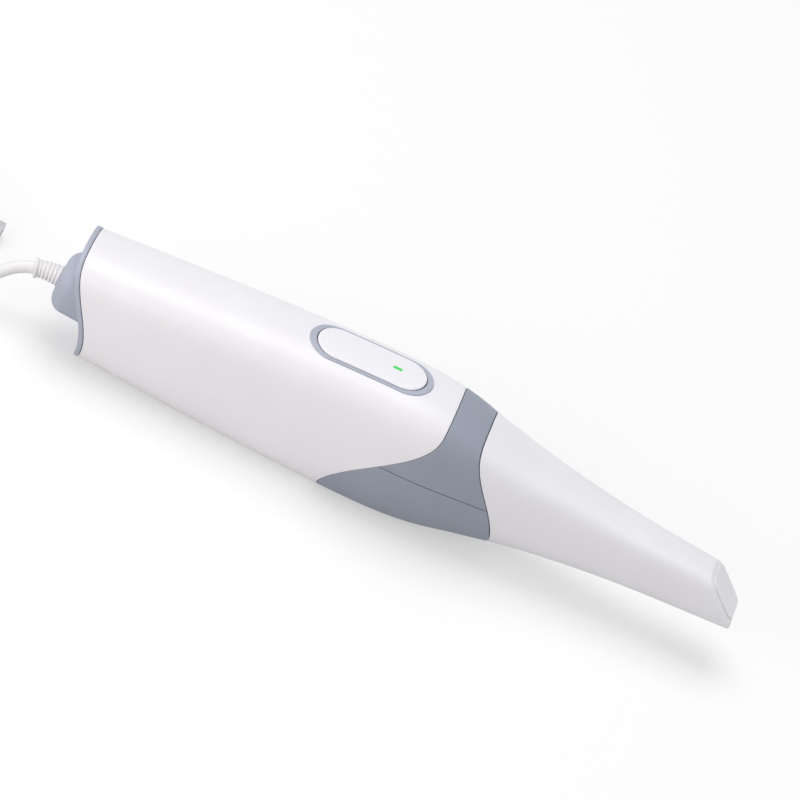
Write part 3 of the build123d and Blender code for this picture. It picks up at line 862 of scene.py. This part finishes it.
@dataclass
class Handle:
    """Sleeve, grip halves, rear cap and strain relief."""

    materials: dict[str, bpy.types.Material]
    relief: bpy.types.Object = field(init=False)
    columns: int = 160
    sleeve_rows: int = 100
    grip_rows: int = 40
    rim_rows: int = 4
    outlet_rows: int = 6
    relief_columns: int = 48
    foot_passes: int = 12
    rim_thickness: float = 2.0 * MM
    rim_proud: float = 0.3 * MM
    rim_edge_radius: float = 0.55 * MM
    neck_radius: float = 3.2 * MM
    neck_depth: float = 3.0 * MM
    cap_face_shares: tuple[float, ...] = (0.03, 0.5, 0.9)
    outlet_foot_shares: tuple[float, ...] = (0.12, 0.35, 0.65, 0.88)
    outlet_z: float = 24.4 * MM
    outlet_end_x: float = -143.5 * MM
    outlet_base_x: float = -126.0 * MM
    outlet_height: float = 22.5 * MM
    outlet_width: float = 25.0 * MM
    outlet_taper: float = radians(2.0)
    outlet_edge_radius: float = 5.5 * MM
    outlet_squareness: float = 0.74
    button_slot: tuple[float, float, float] = mm(-24.0, 50.7, 21.2)
    button_slot_heights: tuple[float, float] = mm(35.0, 70.0)
    relief_length: float = 10.5 * MM
    relief_lean: float = radians(16.0)
    relief_ribs: int = 6
    relief_radii: tuple[float, float] = mm(4.2, 3.6)
    relief_groove: float = 0.4 * MM
    relief_ring: tuple[float, float] = mm(1.5, 4.0)
    relief_root: tuple[float, float] = mm(2.0, 3.0)
    relief_edge: float = 0.35 * MM
    cable_radius: float = 2.5 * MM
    rib_profile: tuple[tuple[float, float], ...] = (
        (0.0, 1.0), (0.12, 0.3), (0.2, 0.0), (0.52, 0.0), (0.6, 0.3), (0.72, 1.0)
    )

    def build(self) -> None:
        """Builds the pieces of the handle."""
        self.sleeve()
        self.grip(upper=True)
        self.grip(upper=False)
        self.rear_cap()
        self.strain_relief()

    def sleeve(self) -> None:
        """White sleeve with the slot for the button."""
        along, across = even(self.sleeve_rows), around(self.columns)
        outer, inner = (
            skin(DESIGN.rear_seam.x_at, DESIGN.sleeve_seam.x_at, keep_share, across, along, grow)
            for grow in (0.0, -DESIGN.shell_wall)
        )
        piece = Piece("sleeve_skin", Body.HANDLE, "white_plastic", self.materials["white_shell"])
        piece.from_walls(outer, inner, closed=True).round_edges(DESIGN.edge_radius)
        x, length, width = self.button_slot
        piece.cut(slot_prism(x, length, width, width / 2 - HAIR, *self.button_slot_heights))
        piece.finish("main_shell")

    def grip(self, upper: bool) -> None:
        """One blue-grey half of the grip.

        Args:
            upper: Whether it is the half above the parting line.
        """
        sign = 1 if upper else -1
        parting = DESIGN.parting_z + sign * DESIGN.seam_gap / 2
        grids = []
        for grow in (0.0, -DESIGN.shell_wall):

            def turn_of(x: float, share: float, grow: float = grow) -> float:
                """Way round the section, between the two ends of the parting line."""
                start = DESIGN.form.turn_at(x, parting, grow)
                return start + ((1 - 2 * start) if upper else -2 * start) * share

            grids.append(
                skin(
                    DESIGN.sleeve_seam.moved(DESIGN.seam_gap).x_at,
                    DESIGN.tip_seam.x_at,
                    turn_of,
                    even(self.columns // 2),
                    even(self.grip_rows),
                    grow,
                )
            )
        name = "grip_upper" if upper else "grip_lower"
        piece = Piece(name + "_skin", Body.HANDLE, "grip_plastic", self.materials["blue_grey_grip"])
        piece.from_walls(*grids, closed=False).round_edges(DESIGN.edge_radius).finish(name)

    def rear_cap(self) -> None:
        """Rim that follows the rear seam, with the raised outlet of the cable behind it."""
        form, rim = DESIGN.form, DESIGN.rear_seam.moved(-DESIGN.seam_gap)
        front, back = rim.x_at, rim.moved(-self.rim_thickness).x_at
        columns = []
        for turn in around(self.columns):
            ends = []
            for cut in (front, back):
                x = form.cut_x(cut, partial(keep_share, share=turn), self.rim_proud)
                ends.append(form.point(x, turn, self.rim_proud))
            column = []
            for share in self.cap_face_shares:
                z = self.outlet_z + (ends[0].z - self.outlet_z) * share
                column.append(Vector((front(z), ends[0].y * share, z)))
            column += [ends[0].lerp(ends[1], step) for step in even(self.rim_rows)]
            foot = self.outlet_foot(back, turn)
            for step in self.outlet_foot_shares:
                spot = ends[1].lerp(foot, step)
                column.append(Vector((back(spot.z), spot.y, spot.z)))
            shoulder = self.outlet_end_x + self.outlet_edge_radius
            for step in even(self.outlet_rows):
                column.append(self.outlet_point(foot.x + (shoulder - foot.x) * step, turn, 0.0))
            for angle in (radians(9.0 * step) for step in range(1, 11)):
                x = shoulder - self.outlet_edge_radius * sin(angle)
                column.append(self.outlet_point(x, turn, self.outlet_edge_radius * (1 - cos(angle))))
            end = column[-1]
            centre = Vector((end.x, 0, self.outlet_z))
            rim_of_neck = centre + (end - centre).normalized() * self.neck_radius
            bottom = rim_of_neck + Vector((self.neck_depth, 0, 0))
            column += [end.lerp(rim_of_neck, 0.5), rim_of_neck, bottom]
            columns.append(column)
        rows = [list(row) for row in zip(*columns)]
        # The grip's plastic, painted lighter for the light that falls on the cap.
        piece = Piece("rear_cap_skin", Body.HANDLE, "grip_plastic", self.materials["blue_grey_cap"])
        piece.from_grid(rows, closed=True, caps=True)
        piece.round_edges(self.rim_edge_radius).finish("rear_cap")

    def outlet_point(self, x: float, turn: float, inset: float) -> Vector:
        """Point on the tapered outlet.

        Args:
            x: Place along X.
            turn: Way round the outlet from its low centre.
            inset: Distance that the point is moved inwards.

        Returns:
            The point.
        """
        inset += (self.outlet_base_x - x) * tan(self.outlet_taper)
        half_height = self.outlet_height / 2 - inset
        y, z = section_point(
            self.outlet_z - half_height,
            self.outlet_z + half_height,
            self.outlet_width / 2 - inset,
            self.outlet_squareness,
            turn,
        )
        return Vector((x, y, z))

    def outlet_foot(self, back: Callable[[float], float], turn: float) -> Vector:
        """Point where the outlet's side meets the cap's rear face.

        Args:
            back: Place along X of the cap's rear face at a height.
            turn: Way round the outlet from its low centre.

        Returns:
            The point.
        """
        x = self.outlet_base_x
        for _ in range(self.foot_passes):
            x = back(self.outlet_point(x, turn, 0.0).z)
        return self.outlet_point(x, turn, 0.0)

    def strain_relief(self) -> None:
        """Ribbed rubber sleeve that tapers and bends down towards the cable, with a ring at its end."""
        ring_length, ring_radius = self.relief_ring
        first, last = self.relief_radii
        pitch = (self.relief_length - ring_length) / self.relief_ribs
        root_depth, root_radius = self.relief_root
        profile = [(-root_depth, root_radius), (0.0, root_radius)]
        for rib in range(self.relief_ribs):
            radius = first + (last - first) * rib / (self.relief_ribs - 1)
            for share, drop in self.rib_profile:
                profile.append(((rib + share) * pitch, radius - self.relief_groove * drop))
        start, end, edge = self.relief_length - ring_length, self.relief_length, self.relief_edge
        profile.append((start, last - self.relief_groove))
        profile += [(start, ring_radius - edge), (start + edge, ring_radius)]
        profile += [(end - edge, ring_radius), (end, ring_radius - edge), (end, self.cable_radius)]
        rows = [self.relief_section(way, radius) for way, radius in profile]
        piece = Piece("relief_skin", Body.HANDLE, "relief_rubber", self.materials["relief_rubber"])
        self.relief = piece.from_grid(rows, closed=True, caps=True).finish("strain_relief")

    def relief_section(self, way: float, radius: float) -> list[Vector]:
        """Round section of the bent strain relief.

        Args:
            way: Distance along the relief from the outlet's end.
            radius: Radius of the section.

        Returns:
            The points of the section.
        """
        down, side = Vector((0, -0.6, -0.8)), Vector((0, 0.8, -0.6))
        lean = self.relief_lean * max(way, 0.0) / self.relief_length
        bend = self.relief_length / self.relief_lean
        centre = Vector((self.outlet_end_x - min(way, 0.0) - bend * sin(lean), 0, self.outlet_z))
        centre += down * bend * (1 - cos(lean))
        upright = down * cos(lean) + Vector((sin(lean), 0, 0))
        angles = [2 * pi * turn for turn in around(self.relief_columns)]
        return [centre + (side * sin(angle) + upright * cos(angle)) * radius for angle in angles]


@dataclass(frozen=True)
class Stadium:
    """Slot-shaped outline, long along X."""

    x: float
    length: float
    width: float

    def frames(self, count: int) -> list[tuple[float, float, float]]:
        """Points of the middle line with the outward direction of the outline.

        Args:
            count: Number of points round the outline, the same number on each side of X.

        Returns:
            Place along X on the middle line and the direction's x and y, for each point.
        """
        radius = self.width / 2
        reach = self.length / 2 - radius
        round_part = pi * radius
        frames = []
        for index in range(count):
            way = (index / count) * (2 * round_part + 4 * reach)
            mirrored = way > round_part + 2 * reach
            way = 2 * (round_part + 2 * reach) - way if mirrored else way
            quarter = round_part / 2
            if way < quarter:
                angle, middle = way / radius, reach
            elif way < quarter + 2 * reach:
                angle, middle = pi / 2, reach - (way - quarter)
            else:
                angle, middle = (way - 2 * reach) / radius, -reach
            frames.append((self.x + middle, cos(angle), -sin(angle) if mirrored else sin(angle)))
        return frames

    def ring(self, count: int, inset: float, height: float) -> list[Vector]:
        """Ring of points at a height over the form's upper surface.

        Args:
            count: Number of points.
            inset: Distance inside the outline.
            height: Height over the surface, negative under it.

        Returns:
            The points.
        """
        radius = self.width / 2 - inset
        points = []
        for middle, nx, ny in self.frames(count):
            x, y = middle + nx * radius, ny * radius
            points.append(Vector((x, y, DESIGN.form.top_z(x, y) + height)))
        return points


@dataclass
class Button:
    """Bezel ring, sprung pad and status light."""

    materials: dict[str, bpy.types.Material]
    count: int = 200
    ring_outline: Stadium = Stadium(*mm(-24.0, 50.5, 21.0))
    opening: Stadium = Stadium(*mm(-24.0, 45.2, 18.7))
    pad_outline: Stadium = Stadium(*mm(-24.0, 44.5, 18.0))
    light_outline: Stadium = Stadium(*mm(-13.8, 4.0, 1.8))
    ring_proud: float = 0.45 * MM
    ring_edge_radius: float = 0.35 * MM
    ring_depth: float = 3.4 * MM
    pad_proud: float = 0.8 * MM
    pad_edge_radius: float = 0.5 * MM
    pad_depth: float = 3.0 * MM
    light_proud: float = 0.06 * MM
    light_edge_radius: float = 0.15 * MM
    light_depth: float = 1.0 * MM
    crown_shares: tuple[float, ...] = (0.25, 0.45, 0.65, 0.85, 0.97)

    def build(self) -> None:
        """Builds ring, pad and light."""
        self.ring()
        self.pad()
        self.light()

    def ring(self) -> None:
        """Blue-grey ring, flush with the sleeve and proud by a hair."""
        edge = rounded_edge(self.ring_edge_radius, self.ring_proud)
        foot = -self.ring_depth
        rows = [self.ring_outline.ring(self.count, 0.0, foot)]
        rows += [self.ring_outline.ring(self.count, inset, height) for inset, height in edge]
        rows += [self.opening.ring(self.count, -inset, height) for inset, height in reversed(edge)]
        rows += [self.opening.ring(self.count, 0.0, foot), rows[0]]
        # The ring takes the grip plastic's painted-lighter copy.
        piece = Piece("button_ring_skin", Body.HANDLE, "grip_plastic", self.materials["blue_grey_cap"])
        piece.from_grid(rows, closed=True).finish("button_ring")

    def pad(self) -> None:
        """White pad with rounded edges."""
        sizes = self.pad_edge_radius, self.pad_proud, self.pad_depth
        cover = self.cover("button_pad_skin", "white_plastic", "white_pad", self.pad_outline, *sizes)
        cover.finish("button_pad")

    def light(self) -> None:
        """Green window in the pad."""
        sizes = self.light_edge_radius, self.pad_proud + self.light_proud, self.light_depth
        cover = self.cover("button_light_skin", "light_green", "light_green", self.light_outline, *sizes)
        cover.finish("button_light")

    def cover(
        self, name: str, slot: str, material: str, outline: Stadium, radius: float, proud: float, depth: float
    ) -> Piece:
        """Closed cover with a rounded edge that follows the handle's top.

        Args:
            name: Name of the piece.
            slot: Material slot of the record.
            material: Name of the material.
            outline: Outline of the cover.
            radius: Radius of the upper edge.
            proud: Height over the handle's top.
            depth: Depth under the handle's top.

        Returns:
            The piece, not yet on its body.
        """
        half = outline.width / 2
        profile = [(0.0, -depth)] + rounded_edge(radius, proud)
        profile += [(half * share, proud) for share in self.crown_shares if half * share > radius]
        grid = [outline.ring(self.count, inset, height) for inset, height in profile]
        points = [point for row in grid for point in row]
        faces = bridge(len(grid), self.count, closed=True)
        last, half_count = len(points) - self.count, self.count // 2
        for index in range(half_count):
            far = (self.count - index) % self.count
            faces.append((last + index, last + index + 1, last + self.count - index - 1, last + far))
        faces.append(tuple(range(self.count)))
        return Piece(name, Body.BUTTON, slot, self.materials[material]).from_faces(points, faces)


@dataclass
class Tip:
    """Removable white tip with its slanted end."""

    materials: dict[str, bpy.types.Material]
    columns: int = 128
    outer_rows: int = 90
    inner_rows: int = 60
    sharp_angle: float = radians(28.0)
    rounding_segments: int = 5
    slant_sum: float = 167.3 * MM
    nose_x: float = 143.5 * MM
    nose_radius: float = 3.0 * MM
    end_radius: float = 1.2 * MM
    window: tuple[float, float, float, float] = mm(131.25, 17.5, 12.6, 2.0)
    window_heights: tuple[float, float] = mm(5.0, 22.6)
    end_rounding_from_x: float = 120.0 * MM
    mouth_rounding_to_x: float = 60.0 * MM
    end_middle_z: float = 29.0 * MM
    end_shares: tuple[float, ...] = (0.74, 0.5, 0.25, 0.04)
    panel_heights: tuple[float, float] = mm(24.6, 38.0)
    panel_width: float = 15.0 * MM
    panel_corner: float = 4.0 * MM
    panel_proud: float = 0.6 * MM
    panel_edge: float = 0.3 * MM
    panel_root: float = 0.5 * MM
    panel_crown_share: float = 0.6

    def end_x(self, z: float, inset: float = 0.0) -> float:
        """Place along X of the slanted end at the height z.

        Args:
            z: Height.
            inset: Distance that the end is moved inwards.

        Returns:
            The place along X.
        """
        nose, slant = self.nose_x - inset, self.slant_sum - inset * sqrt(2)
        reach = self.nose_radius * tan(radians(22.5))
        foot = slant - nose
        centre_x, centre_z = nose - self.nose_radius, foot - reach
        if z <= centre_z:
            return nose
        if z >= foot + reach * sin(radians(45)):
            return slant - z
        return centre_x + sqrt(self.nose_radius ** 2 - (z - centre_z) ** 2)

    def build(self) -> None:
        """Builds the tip and the panel on its slanted end."""
        outer = self.cup(0.0, even(self.outer_rows))
        inner = self.cup(-DESIGN.tip_wall, even(self.inner_rows))
        points = [point for row in outer + inner for point in row]
        count = self.columns
        faces = bridge(len(outer), count, closed=True)
        start = len(outer) * count
        lining = bridge(len(inner), count, closed=True)
        faces += [tuple(start + index for index in reversed(face)) for face in lining]
        faces += [((c + 1) % count, c, start + c, start + (c + 1) % count) for c in range(count)]
        faces += [tuple(range(start - count, start)), tuple(range(len(points) - count, len(points)))]
        piece = Piece("tip_skin", Body.TIP, "tip_plastic", self.materials["white_tip"])
        piece.from_faces(points, faces)
        self.round_where(piece, self.end_radius, lambda point: point.x > self.end_rounding_from_x)
        self.round_where(piece, DESIGN.edge_radius, lambda point: point.x < self.mouth_rounding_to_x)
        x, length, width, corner = self.window
        piece.cut(slot_prism(x, length, width, corner, *self.window_heights))
        piece.finish("tip_shell")
        self.panel()

    def round_where(self, piece: Piece, radius: float, where: Callable[[Vector], bool]) -> None:
        """Rounds the sharp edges of a piece that lie in one region.

        Args:
            piece: Piece that is changed.
            radius: Radius of the rounding.
            where: Whether a point lies in the region.
        """
        work = bmesh.new()
        work.from_mesh(piece.object.data)
        name = "bevel_weight_edge"
        weights = work.edges.layers.float.get(name) or work.edges.layers.float.new(name)
        for edge in work.edges:
            sharp = len(edge.link_faces) == 2 and edge.calc_face_angle(0.0) > self.sharp_angle
            edge[weights] = float(sharp and all(where(vertex.co) for vertex in edge.verts))
        work.to_mesh(piece.object.data)
        work.free()
        bevel = piece.object.modifiers.new("Rounding", "BEVEL")
        bevel.width = radius
        bevel.segments = self.rounding_segments
        bevel.limit_method = "WEIGHT"
        piece.bake()

    def cup(self, grow: float, along: Sequence[float]) -> Grid:
        """One skin of the tip.

        Args:
            grow: Distance that the surface is moved outwards.
            along: Shares from the mouth to the slanted end.

        Returns:
            Rows of points from the mouth over the sides to the middle of the end.
        """

        def end(z: float) -> float:
            """Place of this skin's slanted end at a height."""
            return self.end_x(z, -grow)

        mouth = DESIGN.tip_seam.moved(DESIGN.moving_gap).x_at
        rows = skin(mouth, end, keep_share, around(self.columns), along, grow)
        middle_z = self.end_middle_z
        for share in self.end_shares:
            ring = []
            for point in rows[len(along) - 1]:
                z = middle_z + (point.z - middle_z) * share
                ring.append(Vector((end(z), point.y * share, z)))
            rows.append(ring)
        return rows

    def panel(self) -> None:
        """Thin raised panel on the slanted end, over the mirror."""
        low_z, high_z = self.panel_heights
        width, corner, proud, edge = self.panel_width, self.panel_corner, self.panel_proud, self.panel_edge
        length, middle_z = (high_z - low_z) * sqrt(2), (low_z + high_z) / 2
        middle = Vector((self.slant_sum - middle_z, 0, middle_z))
        along, lift = Vector((-1, 0, 1)).normalized(), Vector((1, 0, 1)).normalized()
        profile = [(0.0, -self.panel_root)] + rounded_edge(edge, proud, steps=3)
        profile.append((corner * self.panel_crown_share, proud))
        rings = []
        for inset, height in profile:
            outline = rounded_outline(length - 2 * inset, width - 2 * inset, corner - inset)
            rings.append([middle + along * u + Vector((0, v, 0)) + lift * height for u, v in outline])
        piece = Piece("tip_panel", Body.TIP, "tip_plastic", self.materials["white_tip"])
        piece.from_grid(rings, closed=True, caps=True).finish()


@dataclass(frozen=True)
class Shift:
    """Smooth change of the coil's radius and height over a part of the winding."""

    start: float
    end: float
    radius: float = 0.0
    height: float = 0.0

    def share(self, turn: float) -> float:
        """Share of the change that is done at a turn of the winding."""
        return smooth((turn - self.start) / (self.end - self.start))


def repeated(
    turns: tuple[float, float], first: int, count: int, radius: float = 0.0, height: float = 0.0
) -> list[Shift]:
    """The same change, made again one turn of the winding later each time.

    Args:
        turns: Start and end of the first change, counted from the turn named by first.
        first: Turn of the winding that turns are counted from.
        count: Number of changes.
        radius: Change of the radius.
        height: Change of the height.

    Returns:
        The changes.
    """
    start, end = turns
    return [Shift(first + start + turn, first + end + turn, radius, height) for turn in range(count)]


@dataclass
class Cable:
    """White cable: its run down from the strain relief, its coil and its plug."""

    materials: dict[str, bpy.types.Material]
    relief: bpy.types.Object
    diameter: float = 5.0 * MM
    length: float = 1.88
    route: tuple[tuple[float, float, float], ...] = tuple(
        mm(*point)
        for point in (
            (-153.9, -0.9, 23.2),
            (-156.6, -1.3, 22.6),
            (-161.5, -3.1, 20.3),
            (-165.4, -5.6, 17.0),
            (-169.6, -7.5, 14.0),
            (-174.9, -10.4, 10.4),
            (-181.2, -12.9, 7.0),
            (-189.6, -15.8, 4.2),
            (-199.2, -19.4, 2.6),
            (-209.4, -23.5, 2.6),
            (-223.6, -29.8, 2.6),
        )
    )
    outer_radius: float = 32.5 * MM
    join_angle: float = radians(-66.6)
    layers: int = 5
    points_per_turn: int = 16
    turns: float = 10.5
    plug_turn: float = 0.565
    inward_steps: tuple[float, float] = mm(-5.1, -4.9)
    upward_turns: tuple[float, float] = (1.75, 2.15)
    outward_turns: tuple[float, float] = (1.6, 2.0)
    downward_turns: tuple[float, float] = (3.4, 3.8)
    landing_turns: tuple[float, float] = (6.2, 6.7)
    outward_step: float = 5.0 * MM
    landing_drop: float = 3.6 * MM
    plug_lead: tuple[tuple[float, float], ...] = (mm(-3.0, 0.1), mm(6.0, 0.0), mm(14.0, 0.0))

    def build(self) -> None:
        points = [Vector(point) for point in self.route] + self.coil() + self.plug_end()
        curve = bpy.data.curves.new("cable_line", "CURVE")
        curve.dimensions = "3D"
        curve.bevel_depth = self.diameter / 2
        curve.bevel_resolution = 5
        curve.resolution_u = 6
        curve.use_fill_caps = True
        spline = curve.splines.new("NURBS")
        spline.points.add(len(points) - 1)
        for target, point in zip(spline.points, points):
            target.co = (*point, 1.0)
        spline.order_u = 3
        spline.use_endpoint_u = True
        curve.materials.append(self.materials["cable_jacket"])
        line = add_object("cable_line", curve)
        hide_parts("cable", "cable_coil")
        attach(line, Body.HANDLE.value)

    def shifts(self) -> list[Shift]:
        """Steps of the winding: in along the floor, up the inside, out over the top, down the outside.

        Returns:
            The changes of radius and height.
        """
        step, rises = self.diameter, self.layers - 1
        inwards = [
            Shift(float(turn), turn + self.plug_turn, radius=inward)
            for turn, inward in enumerate(self.inward_steps)
        ]
        upwards = repeated(self.upward_turns, 0, rises, height=step)
        outwards = repeated(self.outward_turns, rises, 2, radius=self.outward_step)
        downwards = repeated(self.downward_turns, rises, rises - 1, height=-step)
        landing = repeated(self.landing_turns, rises, 1, height=-self.landing_drop)
        return inwards + upwards + outwards + downwards + landing

    def coil(self) -> list[Vector]:
        """The coil's turns, wound from the route's end to just before the plug's place.

        Returns:
            The points.
        """
        last = Vector(self.route[-1])
        arm = Vector((cos(self.join_angle), sin(self.join_angle), 0)) * self.outer_radius
        centre = last - arm
        shifts = self.shifts()
        points = []
        for step in range(1, int(self.turns * self.points_per_turn) + 1):
            turn = step / self.points_per_turn
            angle = self.join_angle - 2 * pi * turn
            radius = self.outer_radius + sum(shift.radius * shift.share(turn) for shift in shifts)
            height = sum(shift.height * shift.share(turn) for shift in shifts)
            points.append(centre + Vector((cos(angle) * radius, sin(angle) * radius, height)))
        return points

    def plug_end(self) -> list[Vector]:
        """The cable's last piece, straight into the plug's boot.

        Returns:
            The points.
        """
        low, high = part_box("plug_body")
        boot = Vector((low.x, (low.y + high.y) / 2, (low.z + high.z) / 2))
        return [boot + Vector((x, 0, z)) for x, z in self.plug_lead]


@dataclass
class Inside:
    """Pieces of the model that keep their own shape and get a finish."""

    materials: dict[str, bpy.types.Material]
    finishes: dict[str, tuple[str, ...]] = field(
        default_factory=lambda: {
            "plug_plastic": ("plug_body",),
            "plug_metal": ("plug_shell",),
            "plug_insert": ("plug_tongue", "status_led", "board_socket"),
            "board_green": ("button_board", "main_board", "camera_board"),
            "chip_black": ("image_sensor", "board_chips"),
            "frame_aluminium": ("optical_frame", "heat_sink"),
            "screw_steel": ("frame_screws", "board_screws"),
            "optic_glass": ("beam_prism", "lenses", "snout_window"),
            "mirror_glass": ("tip_mirror",),
            "seal_rubber": ("snout_seal",),
            "cable_jacket": ("inner_lead",),
            "black_plastic": (
                "button_switch",
                "switch_plunger",
                "projector",
                "lens_barrel",
                "cable_clamp",
                "snout",
                "tip_catches",
            ),
        }
    )

    def dress(self) -> None:
        """Gives each node its finish."""
        for name, nodes in self.finishes.items():
            for node in nodes:
                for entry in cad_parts[node].material_slots:
                    entry.material = self.materials[name]
                log.info("%s: %s", node, name)


@dataclass(frozen=True)
class PhotoCamera:
    """Camera at the photograph's angle, rolled as the photograph is."""

    elevation: float = radians(37.0)
    yaw: float = radians(-2.5)
    lean: float = radians(-26.5)
    distance: float = 2.09
    sensor_width: float = 36.0
    frame_width: float = 800 * 0.38 * MM
    aim: Vector = field(default_factory=lambda: Vector(mm(0, 0, 28.0)))
    aim_offset: tuple[float, float] = mm(-0.87, 14.48)

    def build(self) -> None:
        """Creates the camera and makes it the scene's."""
        ground = cos(self.elevation)
        away = Vector((sin(self.yaw) * ground, -cos(self.yaw) * ground, sin(self.elevation)))
        level = Vector((cos(self.yaw), sin(self.yaw), 0))
        upright = away.cross(level)
        turned = self.lean - atan2(upright.x, level.x)
        right = level * cos(turned) - upright * sin(turned)
        up = level * sin(turned) + upright * cos(turned)
        target = self.aim + right * self.aim_offset[0] + up * self.aim_offset[1]
        data = bpy.data.cameras.new("photo_camera")
        data.sensor_width = self.sensor_width
        data.lens = self.sensor_width * self.distance / self.frame_width
        data.clip_end = 20.0
        camera = add_object("photo_camera", data)
        rotation = Matrix((right, up, away)).transposed()
        camera.matrix_world = Matrix.Translation(target + away * self.distance) @ rotation.to_4x4()
        bpy.context.scene.camera = camera


@dataclass(frozen=True)
class Softbox:
    """Large soft lamp aimed at the object."""

    name: str
    place: tuple[float, float, float]
    size: float
    power: float
    colour: tuple[float, float, float] = (1.0, 1.0, 1.0)

    def build(self) -> None:
        """Creates the lamp."""
        data = bpy.data.lights.new(self.name, "AREA")
        data.shape = "DISK"
        data.size = self.size
        data.energy = self.power
        data.color = self.colour
        place = Vector(self.place)
        aimed = (-place).to_track_quat("-Z", "Y").to_matrix().to_4x4()
        add_object(self.name, data).matrix_world = Matrix.Translation(place) @ aimed


@dataclass(frozen=True)
class Studio:
    """Pale floor, soft lamps and a white surround."""

    lamps: tuple[Softbox, ...] = (
        Softbox("key", (-0.35, 0.35, 1.65), 1.4, 13.0, (0.98, 0.985, 1.0)),
        Softbox("fill", (-0.65, -0.75, 0.22), 0.9, 4.6, (1.0, 0.93, 0.91)),
        Softbox("front", (0.75, -0.35, 0.3), 0.6, 0.6, (1.0, 0.98, 0.97)),
    )
    ambient: float = 0.5
    floor_albedo: float = 0.6
    floor_glow: float = 0.42
    floor_reach: float = 3.0
    floor_z: float = -0.1 * MM

    def build(self) -> None:
        """Creates the world, the floor and the lamps."""
        scene = bpy.context.scene
        scene.view_settings.view_transform = "Standard"
        world = bpy.data.worlds.new("surround")
        world.use_nodes = True
        scene.world = world
        shader = Shader(world.node_tree)
        seen = self.seen(shader)
        strength = shader.span(seen, 0.0, 1.0, self.ambient, 1.0)
        sky = shader.node("Background", {"Color": (1, 1, 1, 1), "Strength": strength})
        shader.node("OutputWorld", {"Surface": sky.outputs[0]})
        self.floor()
        for lamp in self.lamps:
            lamp.build()

    def seen(self, shader: Shader) -> bpy.types.NodeSocket:
        """Mask of the rays that show the surround: seen directly, in gloss or through glass.

        Args:
            shader: Builder of the node tree that the mask goes into.

        Returns:
            The mask, 1 for such a ray.
        """
        path = shader.node("LightPath").outputs
        either = shader.math("MAXIMUM", path["Is Camera Ray"], path["Is Glossy Ray"])
        return shader.math("MAXIMUM", either, path["Is Transmission Ray"])

    def floor(self) -> None:
        """Floor that reads white and keeps the object's shadow."""
        mesh = bpy.data.meshes.new("floor")
        side, z = self.floor_reach, self.floor_z
        corners = [(-side, -side, z), (side, -side, z), (side, side, z), (-side, side, z)]
        mesh.from_pydata(corners, [], [(0, 1, 2, 3)])
        material = bpy.data.materials.new("pale_floor")
        material.use_nodes = True
        shader = Shader(material.node_tree)
        tone = self.floor_albedo
        paint = shader.node("BsdfDiffuse", {"Color": (tone, tone, tone, 1)})
        lift = shader.math("MULTIPLY", self.seen(shader), self.floor_glow)
        glow = shader.node("Emission", {"Color": (1, 1, 1, 1), "Strength": lift})
        both = shader.node("AddShader", {0: paint.outputs[0], 1: glow.outputs[0]})
        shader.node("OutputMaterial", {"Surface": both.outputs[0]})
        mesh.materials.append(material)
        floor = add_object("floor", mesh)


def make_materials() -> dict[str, bpy.types.Material]:
    """Makes every finish of the object.

    Returns:
        The materials by name.
    """
    effects = surface_group()
    finishes = [
        WHITE_SHELL, WHITE_TIP, BLUE_GREY_GRIP, BLUE_GREY_PAINTED_LIT, WHITE_PAD,
        RELIEF_RUBBER, CABLE_JACKET, PLUG_PLASTIC,
        Glow("light_green", (60, 205, 84), 0.5),
        Glass("optic_glass", (225, 235, 240)),
    ]
    finishes += INNER_FINISHES
    return {finish.name: finish.build(effects) for finish in finishes}


def main() -> None:
    """Builds the whole scene."""
    logging.basicConfig(level=logging.INFO, format="%(name)s: %(message)s")
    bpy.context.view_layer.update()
    PhotoCamera().build()
    materials = make_materials()
    handle = Handle(materials)
    handle.build()
    Cable(materials, handle.relief).build()
    Button(materials).build()
    Tip(materials).build()
    Inside(materials).dress()
    Studio().build()


if __name__ == "__main__":
    main()
